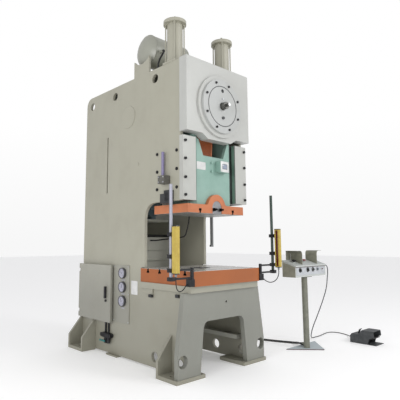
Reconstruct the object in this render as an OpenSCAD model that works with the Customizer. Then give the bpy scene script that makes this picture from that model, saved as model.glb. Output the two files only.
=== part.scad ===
// Open-front mechanical stamping press with a two-hand console and a foot switch.
// Millimetres, +Z up, the press faces -Y. The origin is the centre of the
// foundation-bolt rectangle at floor level; X = 0 is the centre plane.

/* [Frame] */
// Width over the two side plates
frame_w = 800; // [760:10:900]
// Thickness of a side plate
plate_t = 30; // [22:1:36]
// Height of the top edge of the frame
frame_h = 2680; // [2640:10:2760]
// Distance from the foundation centre forward to the head's edge
head_front = 718; // [712:1:722]
// Distance from the foundation centre back to the rear edge
frame_rear = 842; // [830:2:900]
// Radius of the rear top corner
crown_r = 90; // [40:5:140]
// Height of the side plates' lower edge above the floor
foot_gap = 14; // [5:1:25]
// Height of the head from its lower edge to the frame's top edge
head_h = 1253; // [1251:1:1265]
// Radius of the throat's upper corner
throat_r = 135; // [60:5:160]
// Distance from the slide centre back to the throat edge
throat_depth = 310; // [300:5:360]
// Thickness of the head front plate
head_plate_t = 90; // [60:5:110]
// Height of the head front plate at its sides
head_plate_h = 662; // [620:1:670]
// Drop of the lobe in the middle of that edge
head_lobe = 43; // [20:1:43]
// Overhang of the head front plate past each side plate
head_lip = 11; // [0:1:20]
// Thickness of the crown plate
crown_t = 30; // [20:1:40]
// Diameter of the lifting holes
lift_d = 85; // [60:1:95]

/* [Bed] */
// Height of the bed table's top above the floor
bed_h = 725; // [700:5:760]
// Thickness of the bed table
table_t = 53; // [40:1:70]
// Width of the bed table
table_w = 850; // [830:10:900]
// Overhang of the table in front of the bed front plate
table_lip = 30; // [10:1:50]
// Depth of the bed in front of the foundation centre
bed_front = 830; // [820:2:850]
// Thickness of the bed front plate
bed_plate_t = 45; // [30:1:60]
// Half width of the bed front plate at its top
bed_top_half = 467; // [440:1:480]
// Half width of the bed front plate at its legs
bed_leg_half = 535; // [520:1:545]
// Height where the legs begin to taper
bed_leg_h = 212; // [180:2:260]
// Height of the arch between the legs
arch_h = 434; // [380:2:470]
// Half width of the arch at the floor
arch_half = 292; // [280:2:300]

/* [Feet] */
// Half width over the feet
foot_half = 554; // [550:2:600]
// Length of a foot along the press
foot_l = 281; // [250:1:320]
// Thickness of the base plates
foot_t = 30; // [20:1:40]
// Height of a gusset at the side plate
gusset_h = 320; // [240:5:380]
// Height of a gusset at its outer edge
gusset_low = 136; // [80:2:180]
// Thickness of a gusset
gusset_t = 25; // [16:1:32]
// Distance between the foundation bolts across the press
bolt_span_x = 970; // [950:5:1000]
// Distance between the foundation bolts along the press
bolt_span_y = 1420; // [1400:5:1440]
// Diameter of the foundation-bolt holes
bolt_hole_d = 40; // [28:1:46]

/* [Die space] */
// Distance from the foundation centre forward to the die centre
die_line = 542; // [538:1:546]
// Bolster width
bolster_w = 830; // [760:10:860]
// Bolster depth
bolster_d = 690; // [640:5:696]
// Bolster thickness
bolster_t = 120; // [100:5:140]
// Diameter of the drop-through hole
drop_d = 200; // [120:5:220]
// Bolster T-slot pitch
slot_pitch = 160; // [140:5:170]
// T-slot neck width in the bolster
slot_w = 22; // [18:1:26]
// T-slot head width in the bolster
slot_head_w = 37; // [32:1:42]
// T-slot head height in the bolster
slot_head_h = 16; // [12:1:20]
// T-slot neck depth in the bolster
slot_neck = 22; // [18:1:30]
// Depth of the slide's face below the head's lower edge at the top of the stroke
slide_hang = 102; // [98:1:112]

/* [Slide] */
// Stroke of the slide
stroke = 160; // [100:5:160]
// Die-height adjustment
adjust = 80; // [50:5:80]
// Slide body width
slide_w = 514; // [500:2:530]
// Slide body depth
slide_d = 366; // [362:1:370]
// Chamfer of the slide's guided corners
slide_ch = 42; // [30:1:50]
// Height of the slide's front wall above the flange
slide_front_h = 584; // [560:1:586]
// Height of the slide's raised rear part above the front wall
slide_rear_h = 75; // [40:5:90]
// Slide flange width
flange_w = 720; // [680:5:730]
// Slide flange depth
flange_d = 440; // [430:2:460]
// Slide flange thickness
flange_t = 76; // [66:1:80]
// Radius of the half-round boss on the flange
boss_r = 110; // [100:1:118]
// Distance between the slide's T-slots
slide_slot_span = 424; // [400:4:460]
// Neck width of the slide's T-slots
slide_slot_w = 18; // [14:1:22]
// Head width of the slide's T-slots
slide_slot_head = 32; // [26:1:36]
// Shank hole diameter
shank_d = 50; // [30:1:60]
// Shank hole depth
shank_h = 70; // [50:1:80]
// Width of the shank clamp
clamp_w = 116; // [104:2:124]
// Running gap of the slide in its gibs
slide_gap = 0.2; // [0.1:0.05:0.5]
// Length of a gib
gib_h = 552; // [500:4:560]
// Depth of a gib along the press
gib_d = 78; // [60:1:82]
// Thickness of a gib cover
cover_t = 44; // [30:1:50]

/* [Drive] */
// Depth of the crankshaft below the frame's top edge
crank_drop = 390; // [380:1:396]
// Radius of the crankshaft journals
journal_r = 65; // [55:1:70]
// Radius of the crank pin
pin_r = 75; // [65:1:78]
// Length of the crank pin
pin_l = 190; // [170:5:200]
// Thickness of a crank cheek
cheek_t = 53; // [40:1:58]
// Wall of a bearing bush
bush_t = 15; // [10:1:25]
// Running clearance of shafts in their bushes
shaft_gap = 0.06; // [0.03:0.01:0.1]
// Radius of the boss on the head front plate
head_boss_r = 285; // [265:5:300]
// Radius of the bearing flange
cap_r = 248; // [240:2:255]
// Thickness of the bearing flange
cap_t = 22; // [16:1:30]
// Radius of the flange's bolt circle
cap_bolt_r = 220; // [210:1:228]
// Number of bolts in the bearing flange
cap_bolts = 8; // [6:1:12]
// Width of the connecting rod
rod_w = 165; // [140:5:175]
// Height of the rod's lower end above the slide window's edge
rod_low = 20; // [10:1:40]
// Radius of the adjusting screw
screw_r = 50; // [40:1:55]
// Radius of the ball in the slide
ball_r = 75; // [65:1:80]
// Flywheel radius
wheel_r = 350; // [320:5:355]
// Flywheel width
wheel_w = 140; // [120:5:150]
// Motor pulley radius
pulley_r = 75; // [65:1:90]
// Motor body radius
motor_r = 125; // [110:1:135]
// Number of V-belts
belts = 3; // [2:1:4]

/* [Counterbalance] */
// Distance between the two balance cylinders
cyl_span = 640; // [620:2:650]
// Distance of the cylinders in front of the slide centre
cyl_fwd = 19; // [10:1:25]
// Height of the pads under the cylinders
pad_h = 20; // [12:1:40]
// Outer radius of a barrel
barrel_r = 72; // [66:1:73]
// Bore radius of a barrel
barrel_bore = 62.5; // [58:0.5:64]
// Radius of the round upper heads
cyl_cap_r = 106; // [100:1:112]
// Height of the collar at the foot of a barrel
cyl_low_h = 30; // [20:1:36]
// Length of a barrel
barrel_l = 335; // [320:1:350]
// Thickness of an upper head
cyl_top_h = 30; // [20:1:40]
// Radius of a piston rod
rod_r = 18; // [14:1:20]
// Radius of the air tank
tank_r = 155; // [130:5:160]
// Length of the air tank with its domed ends
tank_l = 545; // [480:5:560]
// Height of the tank axis above the frame
tank_up = 270; // [250:2:300]

/* [Cabinet] */
// Length of the cabinet opening along the press
cab_l = 550; // [480:5:560]
// Height of the cabinet opening
cab_h = 516; // [440:4:540]
// Height of the cabinet opening's lower edge
cab_z = 322; // [315:1:340]
// Depth of the cabinet inside the frame
cab_d = 220; // [160:5:260]
// Overlap of the door round the opening
door_lap = 16; // [12:1:16]
// Thickness of the door
door_t = 23; // [18:1:30]
// Shadow gap between the frame and the door
door_gap = 22; // [16:1:30]
// Gauge radius
gauge_r = 51; // [40:1:54]
// Vertical distance between the gauges
gauge_pitch = 130; // [112:2:140]

/* [Light curtain] */
// Distance between the two posts
post_span = 1294; // [1250:2:1340]
// Radius of a post
post_r = 13; // [10:1:15]
// Height of a post
post_h = 739; // [600:1:760]
// Length of a light bar
bar_h = 362; // [300:2:400]
// Width of a light bar
bar_w = 36; // [32:1:42]
// Depth of a light bar
bar_d = 48; // [40:1:54]

/* [Console] */
// Console centre from the centre plane
console_x = 1237; // [1217:2:1301]
// Console width
console_w = 572; // [540:2:600]
// Console depth
console_d = 152; // [145:1:180]
// Height of the console's lower edge
console_low = 725; // [680:5:760]
// Height of the console's front
console_front_h = 117; // [110:1:130]
// Rise of the sloping top towards the rear
console_rise = 48; // [30:1:60]
// Radius of the post
stand_r = 30; // [24:1:36]
// Length of the base plate's long side
stand_base = 524; // [500:2:540]
// Radius of a palm button
palm_r = 27; // [22:1:30]
// Height of a palm hood
hood_h = 95; // [84:1:110]
// Width of a palm hood
hood_w = 96; // [84:1:104]
// Depth of a palm hood
hood_d = 134; // [120:1:138]

/* [Foot switch] */
// Foot switch width
pedal_w = 180; // [160:2:200]
// Foot switch length
pedal_l = 280; // [260:2:300]
// Foot switch height
pedal_h = 140; // [125:1:150]

/* [Hidden] */
$fn = 64;

// Main planes
half = frame_w / 2;
inner = half - plate_t;
die_y = -die_line;
throat_y = die_y + throat_depth;
head_under = frame_h - head_h;
head_plate_low = frame_h - head_plate_h;
shelf_z = bed_h - table_t;
back_y = 300;
bolster_z = bed_h + bolster_t;
slide_z = head_under - slide_hang;
body_z = slide_z + flange_t;
front_top = body_z + slide_front_h;
rear_top = front_top + slide_rear_h;
bed_in = bed_front - bed_plate_t;
bolster_front = die_y - bolster_d / 2;
bolster_back = die_y + bolster_d / 2;
relief = 7;
relief_y = bolster_back + relief;
relief_top = bolster_z + relief - 2;
head_y = -head_front - head_plate_t;
crank_throw = stroke / 2;
crank_z = frame_h - crank_drop;
pin_z = crank_z + crank_throw;

// Slide details
slide_front = die_y - slide_d / 2;
slide_back = die_y + slide_d / 2;
window_low = body_z + 441;
window_low_half = 132;
window_top_half = 188;
cavity_half = 190;
cavity_wall = 35;
cavity_z = body_z + 379;
ball_z = body_z + 259;
clamp_d = 160;
clamp_low = 54;
holder_back = die_y + shank_d / 2 + 30;
boss_drop = 15;
boss_fillet = 30;
slot_neck_slide = 20;
slot_head_slide = 20;
ear_z = body_z + 459;
ear_t = 50;

// Gibs
gib_z = slide_z + 105;
cover_half = half + 13;
disc_r = 112;
disc_y = 45;
disc_z = crank_z + 18;
plug_z = head_under + 389;

// Drive along the press
boss_t = 20;
cap_y = head_y - boss_t - cap_t;
stub_r = 32.5;
stub_l = 46;
tip_r = 15;
tip_l = 35;
cheek_r = 160;
cheek_off = 35;
rear_wall_y = 110;
rear_wall_t = 60;
wheel_y = 560;
clutch_y = wheel_y + wheel_w + 5;
clutch_t = 70;
shelf_motor_z = crank_z - 990;
shelf_motor_t = 25;
motor_z = shelf_motor_z + shelf_motor_t + motor_r + 15;
motor_y = 190;
motor_l = 300;
groove_d = 14;
belt_pitch = 38;
belt_w = 15;
belt_t = 11;

// Balance cylinders
cyl_x = cyl_span / 2;
cyl_y = die_y - cyl_fwd;
pad_top = frame_h + pad_h;
low_top = pad_top + cyl_low_h;
barrel_top = low_top + barrel_l;
cyl_top = barrel_top + cyl_top_h;
cyl_stub_h = 57;
pad_half = 80;
piston_t = 25;
tie_r = 6;
tie_off = (barrel_r + 13) / sqrt(2);
tank_x = -122;
tank_y = -165;
tank_z = frame_h + tank_up;
tank_dome = 60;

// Cabinet
cab_y = 262;
cab_back = -half + cab_d;
neck_x = -half - door_gap;
door_x = neck_x - door_t;
hinge_y = cab_y + cab_l + 22;
hinge_h = 30;
hinge_in = 34;
hinge_x = door_x + 12;
latch_y = cab_y + 58;
latch_z = cab_z + 268;
gauge_y = 88;

// Light curtain
post_x = post_span / 2;
post_y = bolster_front + 12;
post_z = bolster_z - 60;
arm_r = 8;
bar_x = post_x + 5;
block_x = bolster_w / 2 + 58;
bar_y = post_y - post_r - 25 - bar_d / 2;
bar_z = post_z + 53;

// Console
console_y = -925;
console_back = console_y + console_d;
console_top = console_low + console_front_h;
slope = atan(console_rise / console_d);
button_y = console_y + console_d * 0.55;
palm_in = 160;
front_controls = [-205, -65, 33, 117];
stand_x = console_x - 13;
stand_y = -850;
gland_y = console_y + 20;
gland_z = console_top - 14;

// Foot switch
pedal_x = 1915;
pedal_y = -1290;

// Routes of the cables and hoses, chosen by hand
control_route_a = [[1212, -806, 46], [1218, -778, 41], [1238, -738, 30], [1268, -690, 19], [1286, -640, 10],
    [1268, -575, 8], [1240, -510, 8], [1210, -430, 8], [1180, -340, 8], [1110, -120, 8], [980, 120, 8],
    [790, 310, 8], [610, 392, 14], [505, 418, 60], [440, 420, 104], [412, 420, 110]];
control_route_b = [[1238, -806, 22], [1248, -780, 21], [1280, -738, 20], [1310, -695, 18], [1322, -640, 10],
    [1302, -570, 8], [1266, -490, 8], [1236, -410, 8], [1206, -320, 8], [1136, -95, 8], [1006, 150, 8],
    [816, 345, 8], [626, 432, 14], [508, 466, 60], [440, 470, 104], [412, 470, 110]];
pedal_route = [[1535, -905, 828], [1556, -905, 828], [1584, -904, 821], [1606, -902, 798], [1617, -898, 752],
    [1619, -890, 690], [1615, -872, 570], [1600, -845, 470], [1584, -812, 370], [1576, -765, 255],
    [1586, -712, 150], [1614, -668, 60], [1652, -645, 18], [1700, -638, 6], [1760, -637, 5],
    [1840, -636, 5], [1936, -622, 5], [2040, -606, 5], [2115, -613, 5], [2158, -660, 5],
    [2156, -740, 5], [2108, -830, 8], [2025, -905, 18], [1948, -962, 34], [1918, -986, 41],
    [1915, -998, 42]];
curtain_loop = [[0, 0, -20], [0, 0, -48], [0.05, 0.1, -88], [0.2, 0.32, -122], [0.48, 0.62, -134],
    [0.76, 0.86, -116], [0.9, 0.97, -96], [1, 1, -92]];
tank_route = [for (p = [[-285, -350, 1], [-287, -366, 0.99], [-306, -392, 0.878], [-335, -402, 0.663],
    [-370, -403, 0.366], [-386, -403, 0.122], [-388, -403, 0]])
    [p[0], p[1], frame_h + 20 + p[2] * (tank_up - 65)]];
hose_route = [for (p = [[205, -190, 77], [190, -194, 157], [158, -196, 247], [140, -180, 295],
    [120, -60, 309], [105, 60, 319], [98, 200, 331], [96, 300, 331]]) [p[0], p[1], head_under - p[2]]];

// Route of a light bar's cable, from its connector to the block on the bolster
function curtain_route(side) = [for (p = curtain_loop)
    [side * (bar_x - p[0] * (bar_x - block_x)), bar_y + p[1] * (post_y - bar_y), bar_z + p[2]]];

// Axis-aligned block between pairs of coordinates
module span(x, y, z) {
    translate([x[0], y[0], z[0]]) cube([x[1] - x[0], y[1] - y[0], z[1] - z[0]]);
}

// Round bars along the axes
module bar_along_x(y, z, x, r) {
    translate([x[0], y, z]) rotate([0, 90, 0]) cylinder(r = r, h = x[1] - x[0]);
}

module bar_along_y(x, z, y, r) {
    translate([x, y[0], z]) rotate([-90, 0, 0]) cylinder(r = r, h = y[1] - y[0]);
}

module bar_along_z(x, y, z, r) {
    translate([x, y, z[0]]) cylinder(r = r, h = z[1] - z[0]);
}

// A drawing in (y, z), given a thickness along X
module plate_x(x, t) {
    translate([x, 0, 0]) rotate([90, 0, 90]) linear_extrude(t) children();
}

// A drawing in (x, z), given a thickness along Y
module plate_y(y, t) {
    translate([0, y + t, 0]) rotate([90, 0, 0]) linear_extrude(t) children();
}

module both_sides() {
    children();
    mirror([1, 0, 0]) children();
}

// The same piece on both sides of the die centre line
module both_ends() {
    children();
    translate([0, 2 * die_y, 0]) mirror([0, 1, 0]) children();
}

// Cap screw: head down to z = 0, shank below
module cap_screw(d, l, head = 0.85) {
    difference() {
        cylinder(r = d * 0.75, h = d * head);
        translate([0, 0, d * head * 0.5]) cylinder(r = d * 0.42, h = d, $fn = 6);
    }
    translate([0, 0, -l]) cylinder(r = d / 2, h = l);
}

function arc(c, r, a0, a1, n) =
    [for (i = [0:n]) c + r * [cos(a0 + (a1 - a0) * i / n), sin(a0 + (a1 - a0) * i / n)]];

// Smooth route through hand-chosen points
function knot(p0, p1, p2, p3, t) =
    0.5 * (2 * p1 + (p2 - p0) * t + (2 * p0 - 5 * p1 + 4 * p2 - p3) * t * t
    + (3 * p1 - p0 - 3 * p2 + p3) * t * t * t);
function smooth(p, n) = concat(
    [for (i = [0:len(p) - 2], j = [0:n - 1])
        knot(p[max(i - 1, 0)], p[i], p[i + 1], p[min(i + 2, len(p) - 1)], j / n)],
    [p[len(p) - 1]]);
function unit(v) = v / norm(v);
function heading(p, i, first, last) = i == 0 ? unit(first) : i == len(p) - 1 ? unit(last)
    : unit(p[i + 1] - p[i - 1]);

// Tube swept along a route; up is any direction the route never takes,
// first and last are the directions in which its ends stand
module hose(p, r, sides, up, first, last) {
    n = len(p);
    rings = [for (i = [0:n - 1])
        let (t = heading(p, i, first, last), u = unit(cross(up, t)), v = cross(t, u))
        for (k = [0:sides - 1])
            p[i] + r * (cos(360 * k / sides) * u + sin(360 * k / sides) * v)];
    walls = [for (i = [0:n - 2], k = [0:sides - 1])
        let (a = i * sides + k, b = i * sides + (k + 1) % sides)
        each [[a, a + sides, b + sides], [a, b + sides, b]]];
    caps = [[for (k = [0:sides - 1]) k], [for (k = [0:sides - 1]) n * sides - 1 - k]];
    polyhedron(rings, concat(walls, caps), convexity = 4);
}

// Frame

module side_outline() {
    polygon(concat(
        [[-bed_in, foot_gap], [frame_rear, foot_gap]],
        arc([frame_rear - crown_r, frame_h - crown_r], crown_r, 0, 90, 8),
        [[-head_front, frame_h], [-head_front, head_under]],
        arc([throat_y - throat_r, head_under - throat_r], throat_r, 90, 0, 10),
        [[throat_y, relief_top], [relief_y, relief_top], [relief_y, shelf_z], [-bed_in, shelf_z]]));
}

module side_holes() {
    for (p = [[-374, frame_h - 92], [281, frame_h - 100], [725, frame_h - 104], [-380, 100], [-700, 100]])
        translate(p) circle(d = lift_d);
    for (y = [-head_front + 45, 2 * die_y + head_front - 45], z = [111, 270, 431])
        translate([y, gib_z + z]) circle(r = 9);
}

module side_plate_left() {
    color([0.65, 0.64, 0.58]) {
        plate_x(-half, plate_t) difference() {
            side_outline();
            side_holes();
            translate([395, head_under + 153]) square([20, 586]);
            translate([cab_y, cab_z]) square([cab_l, cab_h]);
        }
        bar_along_x(disc_y, disc_z, [-half - 4, -half + 1], disc_r);
        bar_along_x(-121, plug_z, [-half - 4, -half + 1], 13);
    }
}

module side_plate_right() {
    color([0.65, 0.64, 0.58]) {
        plate_x(inner, plate_t) difference() {
            side_outline();
            side_holes();
        }
        bar_along_x(disc_y, disc_z, [half - 1, half + 4], disc_r);
        bar_along_x(-121, plug_z, [half - 1, half + 4], 13);
    }
}

module head_front_plate() {
    w = half + head_lip;
    low = head_plate_low - head_lobe;
    color([0.78, 0.79, 0.8]) difference() {
        union() {
            plate_y(head_y, head_plate_t) polygon([[-w, frame_h], [-w, head_plate_low],
                [-225, head_plate_low], [-150, low], [150, low], [225, head_plate_low],
                [w, head_plate_low], [w, frame_h]]);
            bar_along_y(0, crank_z, [head_y - boss_t, head_y + 1], head_boss_r);
        }
        bar_along_y(0, crank_z, [head_y - boss_t - 1, -head_front + 1], journal_r + bush_t);
    }
}

module crown_plate() {
    color([0.65, 0.64, 0.58]) difference() {
        span([-inner, inner], [-head_front, frame_rear - crown_r], [frame_h - crown_t, frame_h]);
        for (s = [-1, 1]) bar_along_z(s * cyl_x, cyl_y, [frame_h - crown_t - 1, frame_h + 1], rod_r + 4);
    }
}

module head_rear_plate() {
    color([0.62, 0.61, 0.56]) difference() {
        union() {
            span([-inner, inner], [rear_wall_y, rear_wall_y + rear_wall_t],
                [crank_z - 290, frame_h - crown_t]);
            bar_along_y(0, crank_z, [rear_wall_y - 25, rear_wall_y + 1], journal_r + bush_t + 45);
        }
        bar_along_y(0, crank_z, [rear_wall_y - 26, rear_wall_y + rear_wall_t + 1], journal_r + bush_t);
    }
}

module bed_table() {
    color([0.7, 0.7, 0.66]) {
        difference() {
            span([-table_w / 2, table_w / 2], [-bed_front - table_lip, relief_y], [shelf_z, bed_h]);
            bar_along_z(0, die_y, [shelf_z - 1, bed_h + 1], drop_d / 2 + 30);
        }
        span([-half - 12, -half], [-363, -240], [shelf_z - 12, shelf_z + 1]);
        span([-half - 12, -half], [-363, -240], [shelf_z - 50, shelf_z - 11]);
    }
}

module bed_front_plate() {
    color([0.78, 0.79, 0.8]) plate_y(-bed_front, bed_plate_t) difference() {
        polygon([[-bed_leg_half, foot_t], [-bed_leg_half, bed_leg_h], [-bed_top_half, shelf_z],
            [bed_top_half, shelf_z], [bed_leg_half, bed_leg_h], [bed_leg_half, foot_t]]);
        polygon(concat([[arch_half, foot_t - 1]],
            arc([arch_half - 97, arch_h - 60], 60, 0, 90, 6),
            arc([97 - arch_half, arch_h - 60], 60, 90, 180, 6),
            [[-arch_half, foot_t - 1]]));
        for (s = [-1, 1]) translate([s * (bed_leg_half - 52), 158]) circle(r = 50);
        translate([25, 571]) circle(r = 10);
    }
}

module inner_plates() {
    color([0.6, 0.59, 0.54]) {
        difference() {
            union() {
                span([-inner, inner], [relief_y, back_y], [bed_h - 35, bed_h - 5]);
                span([-inner, inner], [back_y, back_y + 25], [bed_h - 35, head_under - 297]);
                for (z = [158, 266]) span([-inner, inner], [back_y - 30, back_y + 1], [bed_h + z, bed_h + z + 8]);
            }
            span([-half, cab_back], [cab_y, cab_y + cab_l], [cab_z, cab_z + cab_h]);
        }
        span([-inner, inner], [throat_y - 25, throat_y], [arch_h - 190, shelf_z]);
        both_sides() span([inner - 70, inner], [-704, throat_y - 25], [200, 237]);
        span([-inner, inner], [back_y + 25, frame_rear], [shelf_motor_z, shelf_motor_z + shelf_motor_t]);
        difference() {
            span([-inner, inner], [frame_rear - 25, frame_rear], [250, shelf_motor_z]);
            bar_along_y(0, shelf_motor_z - 320, [frame_rear - 26, frame_rear + 1], 110);
        }
    }
}

module foot_gusset(y) {
    plate_y(y, gusset_t) polygon([[half, foot_t], [foot_half, foot_t], [foot_half, gusset_low],
        [half, gusset_h]]);
}

module feet() {
    front = -bed_front - 5;
    rear = frame_rear + 8;
    hx = bolt_span_x / 2;
    hy = bolt_span_y / 2;
    color([0.65, 0.64, 0.58]) both_sides() {
        difference() {
            union() {
                span([half, foot_half], [front, front + foot_l - 31], [0, foot_t]);
                span([243, half], [front, front + foot_l + 9], [0, foot_t]);
            }
            span([inner, half], [-bed_in, front + foot_l + 10], [-1, foot_t + 1]);
            bar_along_z(hx, -hy, [-1, foot_t + 1], bolt_hole_d / 2);
        }
        foot_gusset(front + foot_l - 31 - gusset_t);
        difference() {
            span([243, foot_half], [rear - foot_l, rear], [0, foot_t]);
            span([inner, half], [rear - foot_l - 1, frame_rear], [-1, foot_t + 1]);
            bar_along_z(hx, hy, [-1, foot_t + 1], bolt_hole_d / 2);
        }
        foot_gusset(rear - foot_l);
        foot_gusset(rear - gusset_t);
        span([inner - 30, half + 30], [153, 329], [0, foot_gap]);
    }
}

// Die space

module bolster() {
    color([0.8, 0.81, 0.82]) difference() {
        span([-bolster_w / 2, bolster_w / 2], [bolster_front, bolster_back], [bed_h, bolster_z]);
        for (k = [-1.5, -0.5, 0.5, 1.5]) translate([-bolster_w / 2 - 1, die_y + k * slot_pitch, 0]) {
            span([0, bolster_w + 2], [-slot_w / 2, slot_w / 2], [bolster_z - slot_neck - 1, bolster_z + 1]);
            span([0, bolster_w + 2], [-slot_head_w / 2, slot_head_w / 2],
                [bolster_z - slot_neck - slot_head_h, bolster_z - slot_neck]);
        }
        bar_along_z(0, die_y, [bed_h - 1, bolster_z + 1], drop_d / 2);
        for (sx = [-1, 1], sy = [-1, 1]) translate([sx * (bolster_w / 2 - 45), die_y + sy * 290, 0]) {
            cylinder(r = 12, h = bolster_z + 1);
            translate([0, 0, bolster_z - 30]) cylinder(r = 20, h = 31);
        }
    }
}

module gib_outline() {
    edge = slide_w / 2 + slide_gap;
    line = slide_w / 2 - slide_ch + slide_d / 2 - die_y + slide_gap * sqrt(2);
    polygon([[line - head_front, -head_front], [edge, edge - line], [edge, gib_d - head_front],
        [inner, gib_d - head_front], [inner, -head_front]]);
}

module gibs() {
    color([0.35, 0.36, 0.36]) both_ends() both_sides()
        translate([0, 0, gib_z]) linear_extrude(gib_h) gib_outline();
}

module gib_covers() {
    color([0.78, 0.79, 0.8]) both_sides() difference() {
        span([slide_w / 2 + 0.5, cover_half], [-head_front - cover_t, -head_front], [gib_z, gib_z + gib_h]);
        for (z = cover_screw_z()) bar_along_y(cover_half - 26, z, [-head_front - cover_t - 1, -head_front + 1], 8);
    }
}

function cover_screw_z() = [for (z = [41, 190, 350, 505]) gib_z + z];

module cap_screws() {
    color([0.2, 0.2, 0.21]) {
        both_sides() for (z = cover_screw_z())
            translate([cover_half - 26, -head_front - cover_t, z]) rotate([90, 0, 0]) cap_screw(16, cover_t);
        for (sx = [-1, 1], sy = [-1, 1])
            translate([sx * (bolster_w / 2 - 45), die_y + sy * 290, bolster_z - 30]) cap_screw(24, bolster_t - 30);
        both_sides() both_ends() for (z = [111, 270, 431])
            translate([half, -head_front + 45, gib_z + z]) rotate([0, 90, 0]) {
                translate([0, 0, -plate_t]) cylinder(r = 9, h = plate_t + 10);
                cylinder(r = 15, h = 8, $fn = 6);
            }
        for (k = [0:cap_bolts - 1]) rotate_about_crank(22.5 + 360 * k / cap_bolts)
            translate([cap_bolt_r, cap_y, crank_z]) rotate([90, 0, 0]) cap_screw(14, cap_t, 0.7);
    }
}

module bearing_flange() {
    color([0.78, 0.79, 0.8]) difference() {
        union() {
            bar_along_y(0, crank_z, [cap_y, cap_y + cap_t], cap_r);
            bar_along_y(0, crank_z - 108, [cap_y - 12, cap_y + 1], 13);
        }
        bar_along_y(0, crank_z, [cap_y - 1, cap_y + cap_t + 1], stub_r + 4);
        difference() {
            bar_along_y(0, crank_z, [cap_y - 1, cap_y + 4], 188);
            bar_along_y(0, crank_z, [cap_y - 2, cap_y + 5], 180);
        }
        bar_along_y(0, crank_z + 144, [cap_y - 1, cap_y + 8], 17);
        for (k = [0:cap_bolts - 1]) rotate_about_crank(22.5 + 360 * k / cap_bolts)
            bar_along_y(cap_bolt_r, crank_z, [cap_y - 1, cap_y + cap_t + 1], 7);
    }
}

module rotate_about_crank(a) {
    translate([0, 0, crank_z]) rotate([0, a, 0]) translate([0, 0, -crank_z]) children();
}

module bearing_bushes() {
    color([0.72, 0.55, 0.3]) for (y = [[head_y - boss_t, -head_front + 15],
            [rear_wall_y - 25, rear_wall_y + rear_wall_t]])
        difference() {
            bar_along_y(0, crank_z, y, journal_r + bush_t);
            bar_along_y(0, crank_z, [y[0] - 1, y[1] + 1], journal_r + shaft_gap);
        }
}

// Drive

module crankshaft() {
    cheek_front = die_y - pin_l / 2 - cheek_t;
    cheek_rear = die_y + pin_l / 2;
    color([0.55, 0.56, 0.58]) {
        bar_along_y(0, crank_z, [cap_y - stub_l - tip_l, cap_y - stub_l + 1], tip_r);
        bar_along_y(0, crank_z, [cap_y - stub_l, cap_y + cap_t + 3], stub_r);
        bar_along_y(0, crank_z, [cap_y + cap_t + 2, cheek_front + 1], journal_r);
        bar_along_y(0, crank_z + cheek_off, [cheek_front, cheek_front + cheek_t], cheek_r);
        bar_along_y(0, pin_z, [cheek_front + cheek_t - 1, cheek_rear + 1], pin_r);
        bar_along_y(0, crank_z + cheek_off, [cheek_rear, cheek_rear + cheek_t], cheek_r);
        bar_along_y(0, crank_z, [cheek_rear + cheek_t - 1, rear_wall_y + rear_wall_t + 60], journal_r);
        bar_along_y(0, crank_z, [rear_wall_y + rear_wall_t + 59, clutch_y + 1], journal_r - 10);
        bar_along_y(0, crank_z, [clutch_y, clutch_y + clutch_t], 150);
        bar_along_y(0, crank_z, [clutch_y + clutch_t - 1, clutch_y + clutch_t + 25], 45);
    }
}

module grooved_rim(r, w, hub) {
    first = w / 2 - (belts - 1) * belt_pitch / 2;
    difference() {
        translate([hub, 0]) square([r - hub, w]);
        for (k = [0:belts - 1]) translate([r, first + k * belt_pitch])
            polygon([[1, -11], [-groove_d, -8.5], [-groove_d, 8.5], [1, 11]]);
    }
}

module flywheel() {
    color([0.25, 0.26, 0.27]) translate([0, wheel_y, crank_z]) rotate([-90, 0, 0]) {
        difference() {
            rotate_extrude($fn = 96) {
                grooved_rim(wheel_r, wheel_w, wheel_r - 60);
                translate([journal_r - 10 + shaft_gap, 0]) square([45, wheel_w]);
                translate([journal_r, wheel_w / 2 - 20]) square([wheel_r - journal_r - 50, 40]);
            }
            for (k = [0:5]) rotate([0, 0, 60 * k]) translate([(wheel_r + 45) / 2, 0, -1])
                cylinder(r = 42, h = wheel_w + 2);
        }
    }
}

module motor_pulley() {
    color([0.3, 0.3, 0.31]) translate([0, wheel_y, motor_z]) rotate([-90, 0, 0])
        rotate_extrude() grooved_rim(pulley_r, wheel_w, 19 + shaft_gap);
}

module belt_loop(r_top, r_low, t) {
    difference() {
        hull() {
            translate([0, crank_z]) circle(r = r_top + t, $fn = 72);
            translate([0, motor_z]) circle(r = r_low + t, $fn = 36);
        }
        hull() {
            translate([0, crank_z]) circle(r = r_top, $fn = 72);
            translate([0, motor_z]) circle(r = r_low, $fn = 36);
        }
    }
}

module drive_belts() {
    first = wheel_y + wheel_w / 2 - (belts - 1) * belt_pitch / 2;
    color([0.1, 0.1, 0.1]) for (k = [0:belts - 1])
        plate_y(first + k * belt_pitch - belt_w / 2, belt_w)
            belt_loop(wheel_r - groove_d + 1.5, pulley_r - groove_d + 1.5, belt_t);
}

module motor() {
    body = [motor_y, motor_y + motor_l];
    color([0.3, 0.36, 0.38]) {
        bar_along_y(0, motor_z, body, motor_r - 14);
        for (k = [0:23]) translate([0, 0, motor_z]) rotate([0, 15 * k + 7.5, 0])
            span([-2, 2], [motor_y + 40, motor_y + motor_l - 30], [motor_r - 16, motor_r]);
        bar_along_y(0, motor_z, [motor_y - 50, motor_y + 30], motor_r - 4);
        bar_along_y(0, motor_z, [motor_y + motor_l - 1, motor_y + motor_l + 16], motor_r - 40);
        bar_along_y(0, motor_z, [motor_y + motor_l + 15, wheel_y + wheel_w], 19);
        both_sides() span([60, 125], [motor_y + 60, motor_y + motor_l - 40],
            [shelf_motor_z + shelf_motor_t, shelf_motor_z + shelf_motor_t + 40]);
        span([motor_r - 30, motor_r + 35], [motor_y + 90, motor_y + 200], [motor_z - 50, motor_z + 50]);
    }
}

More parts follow.
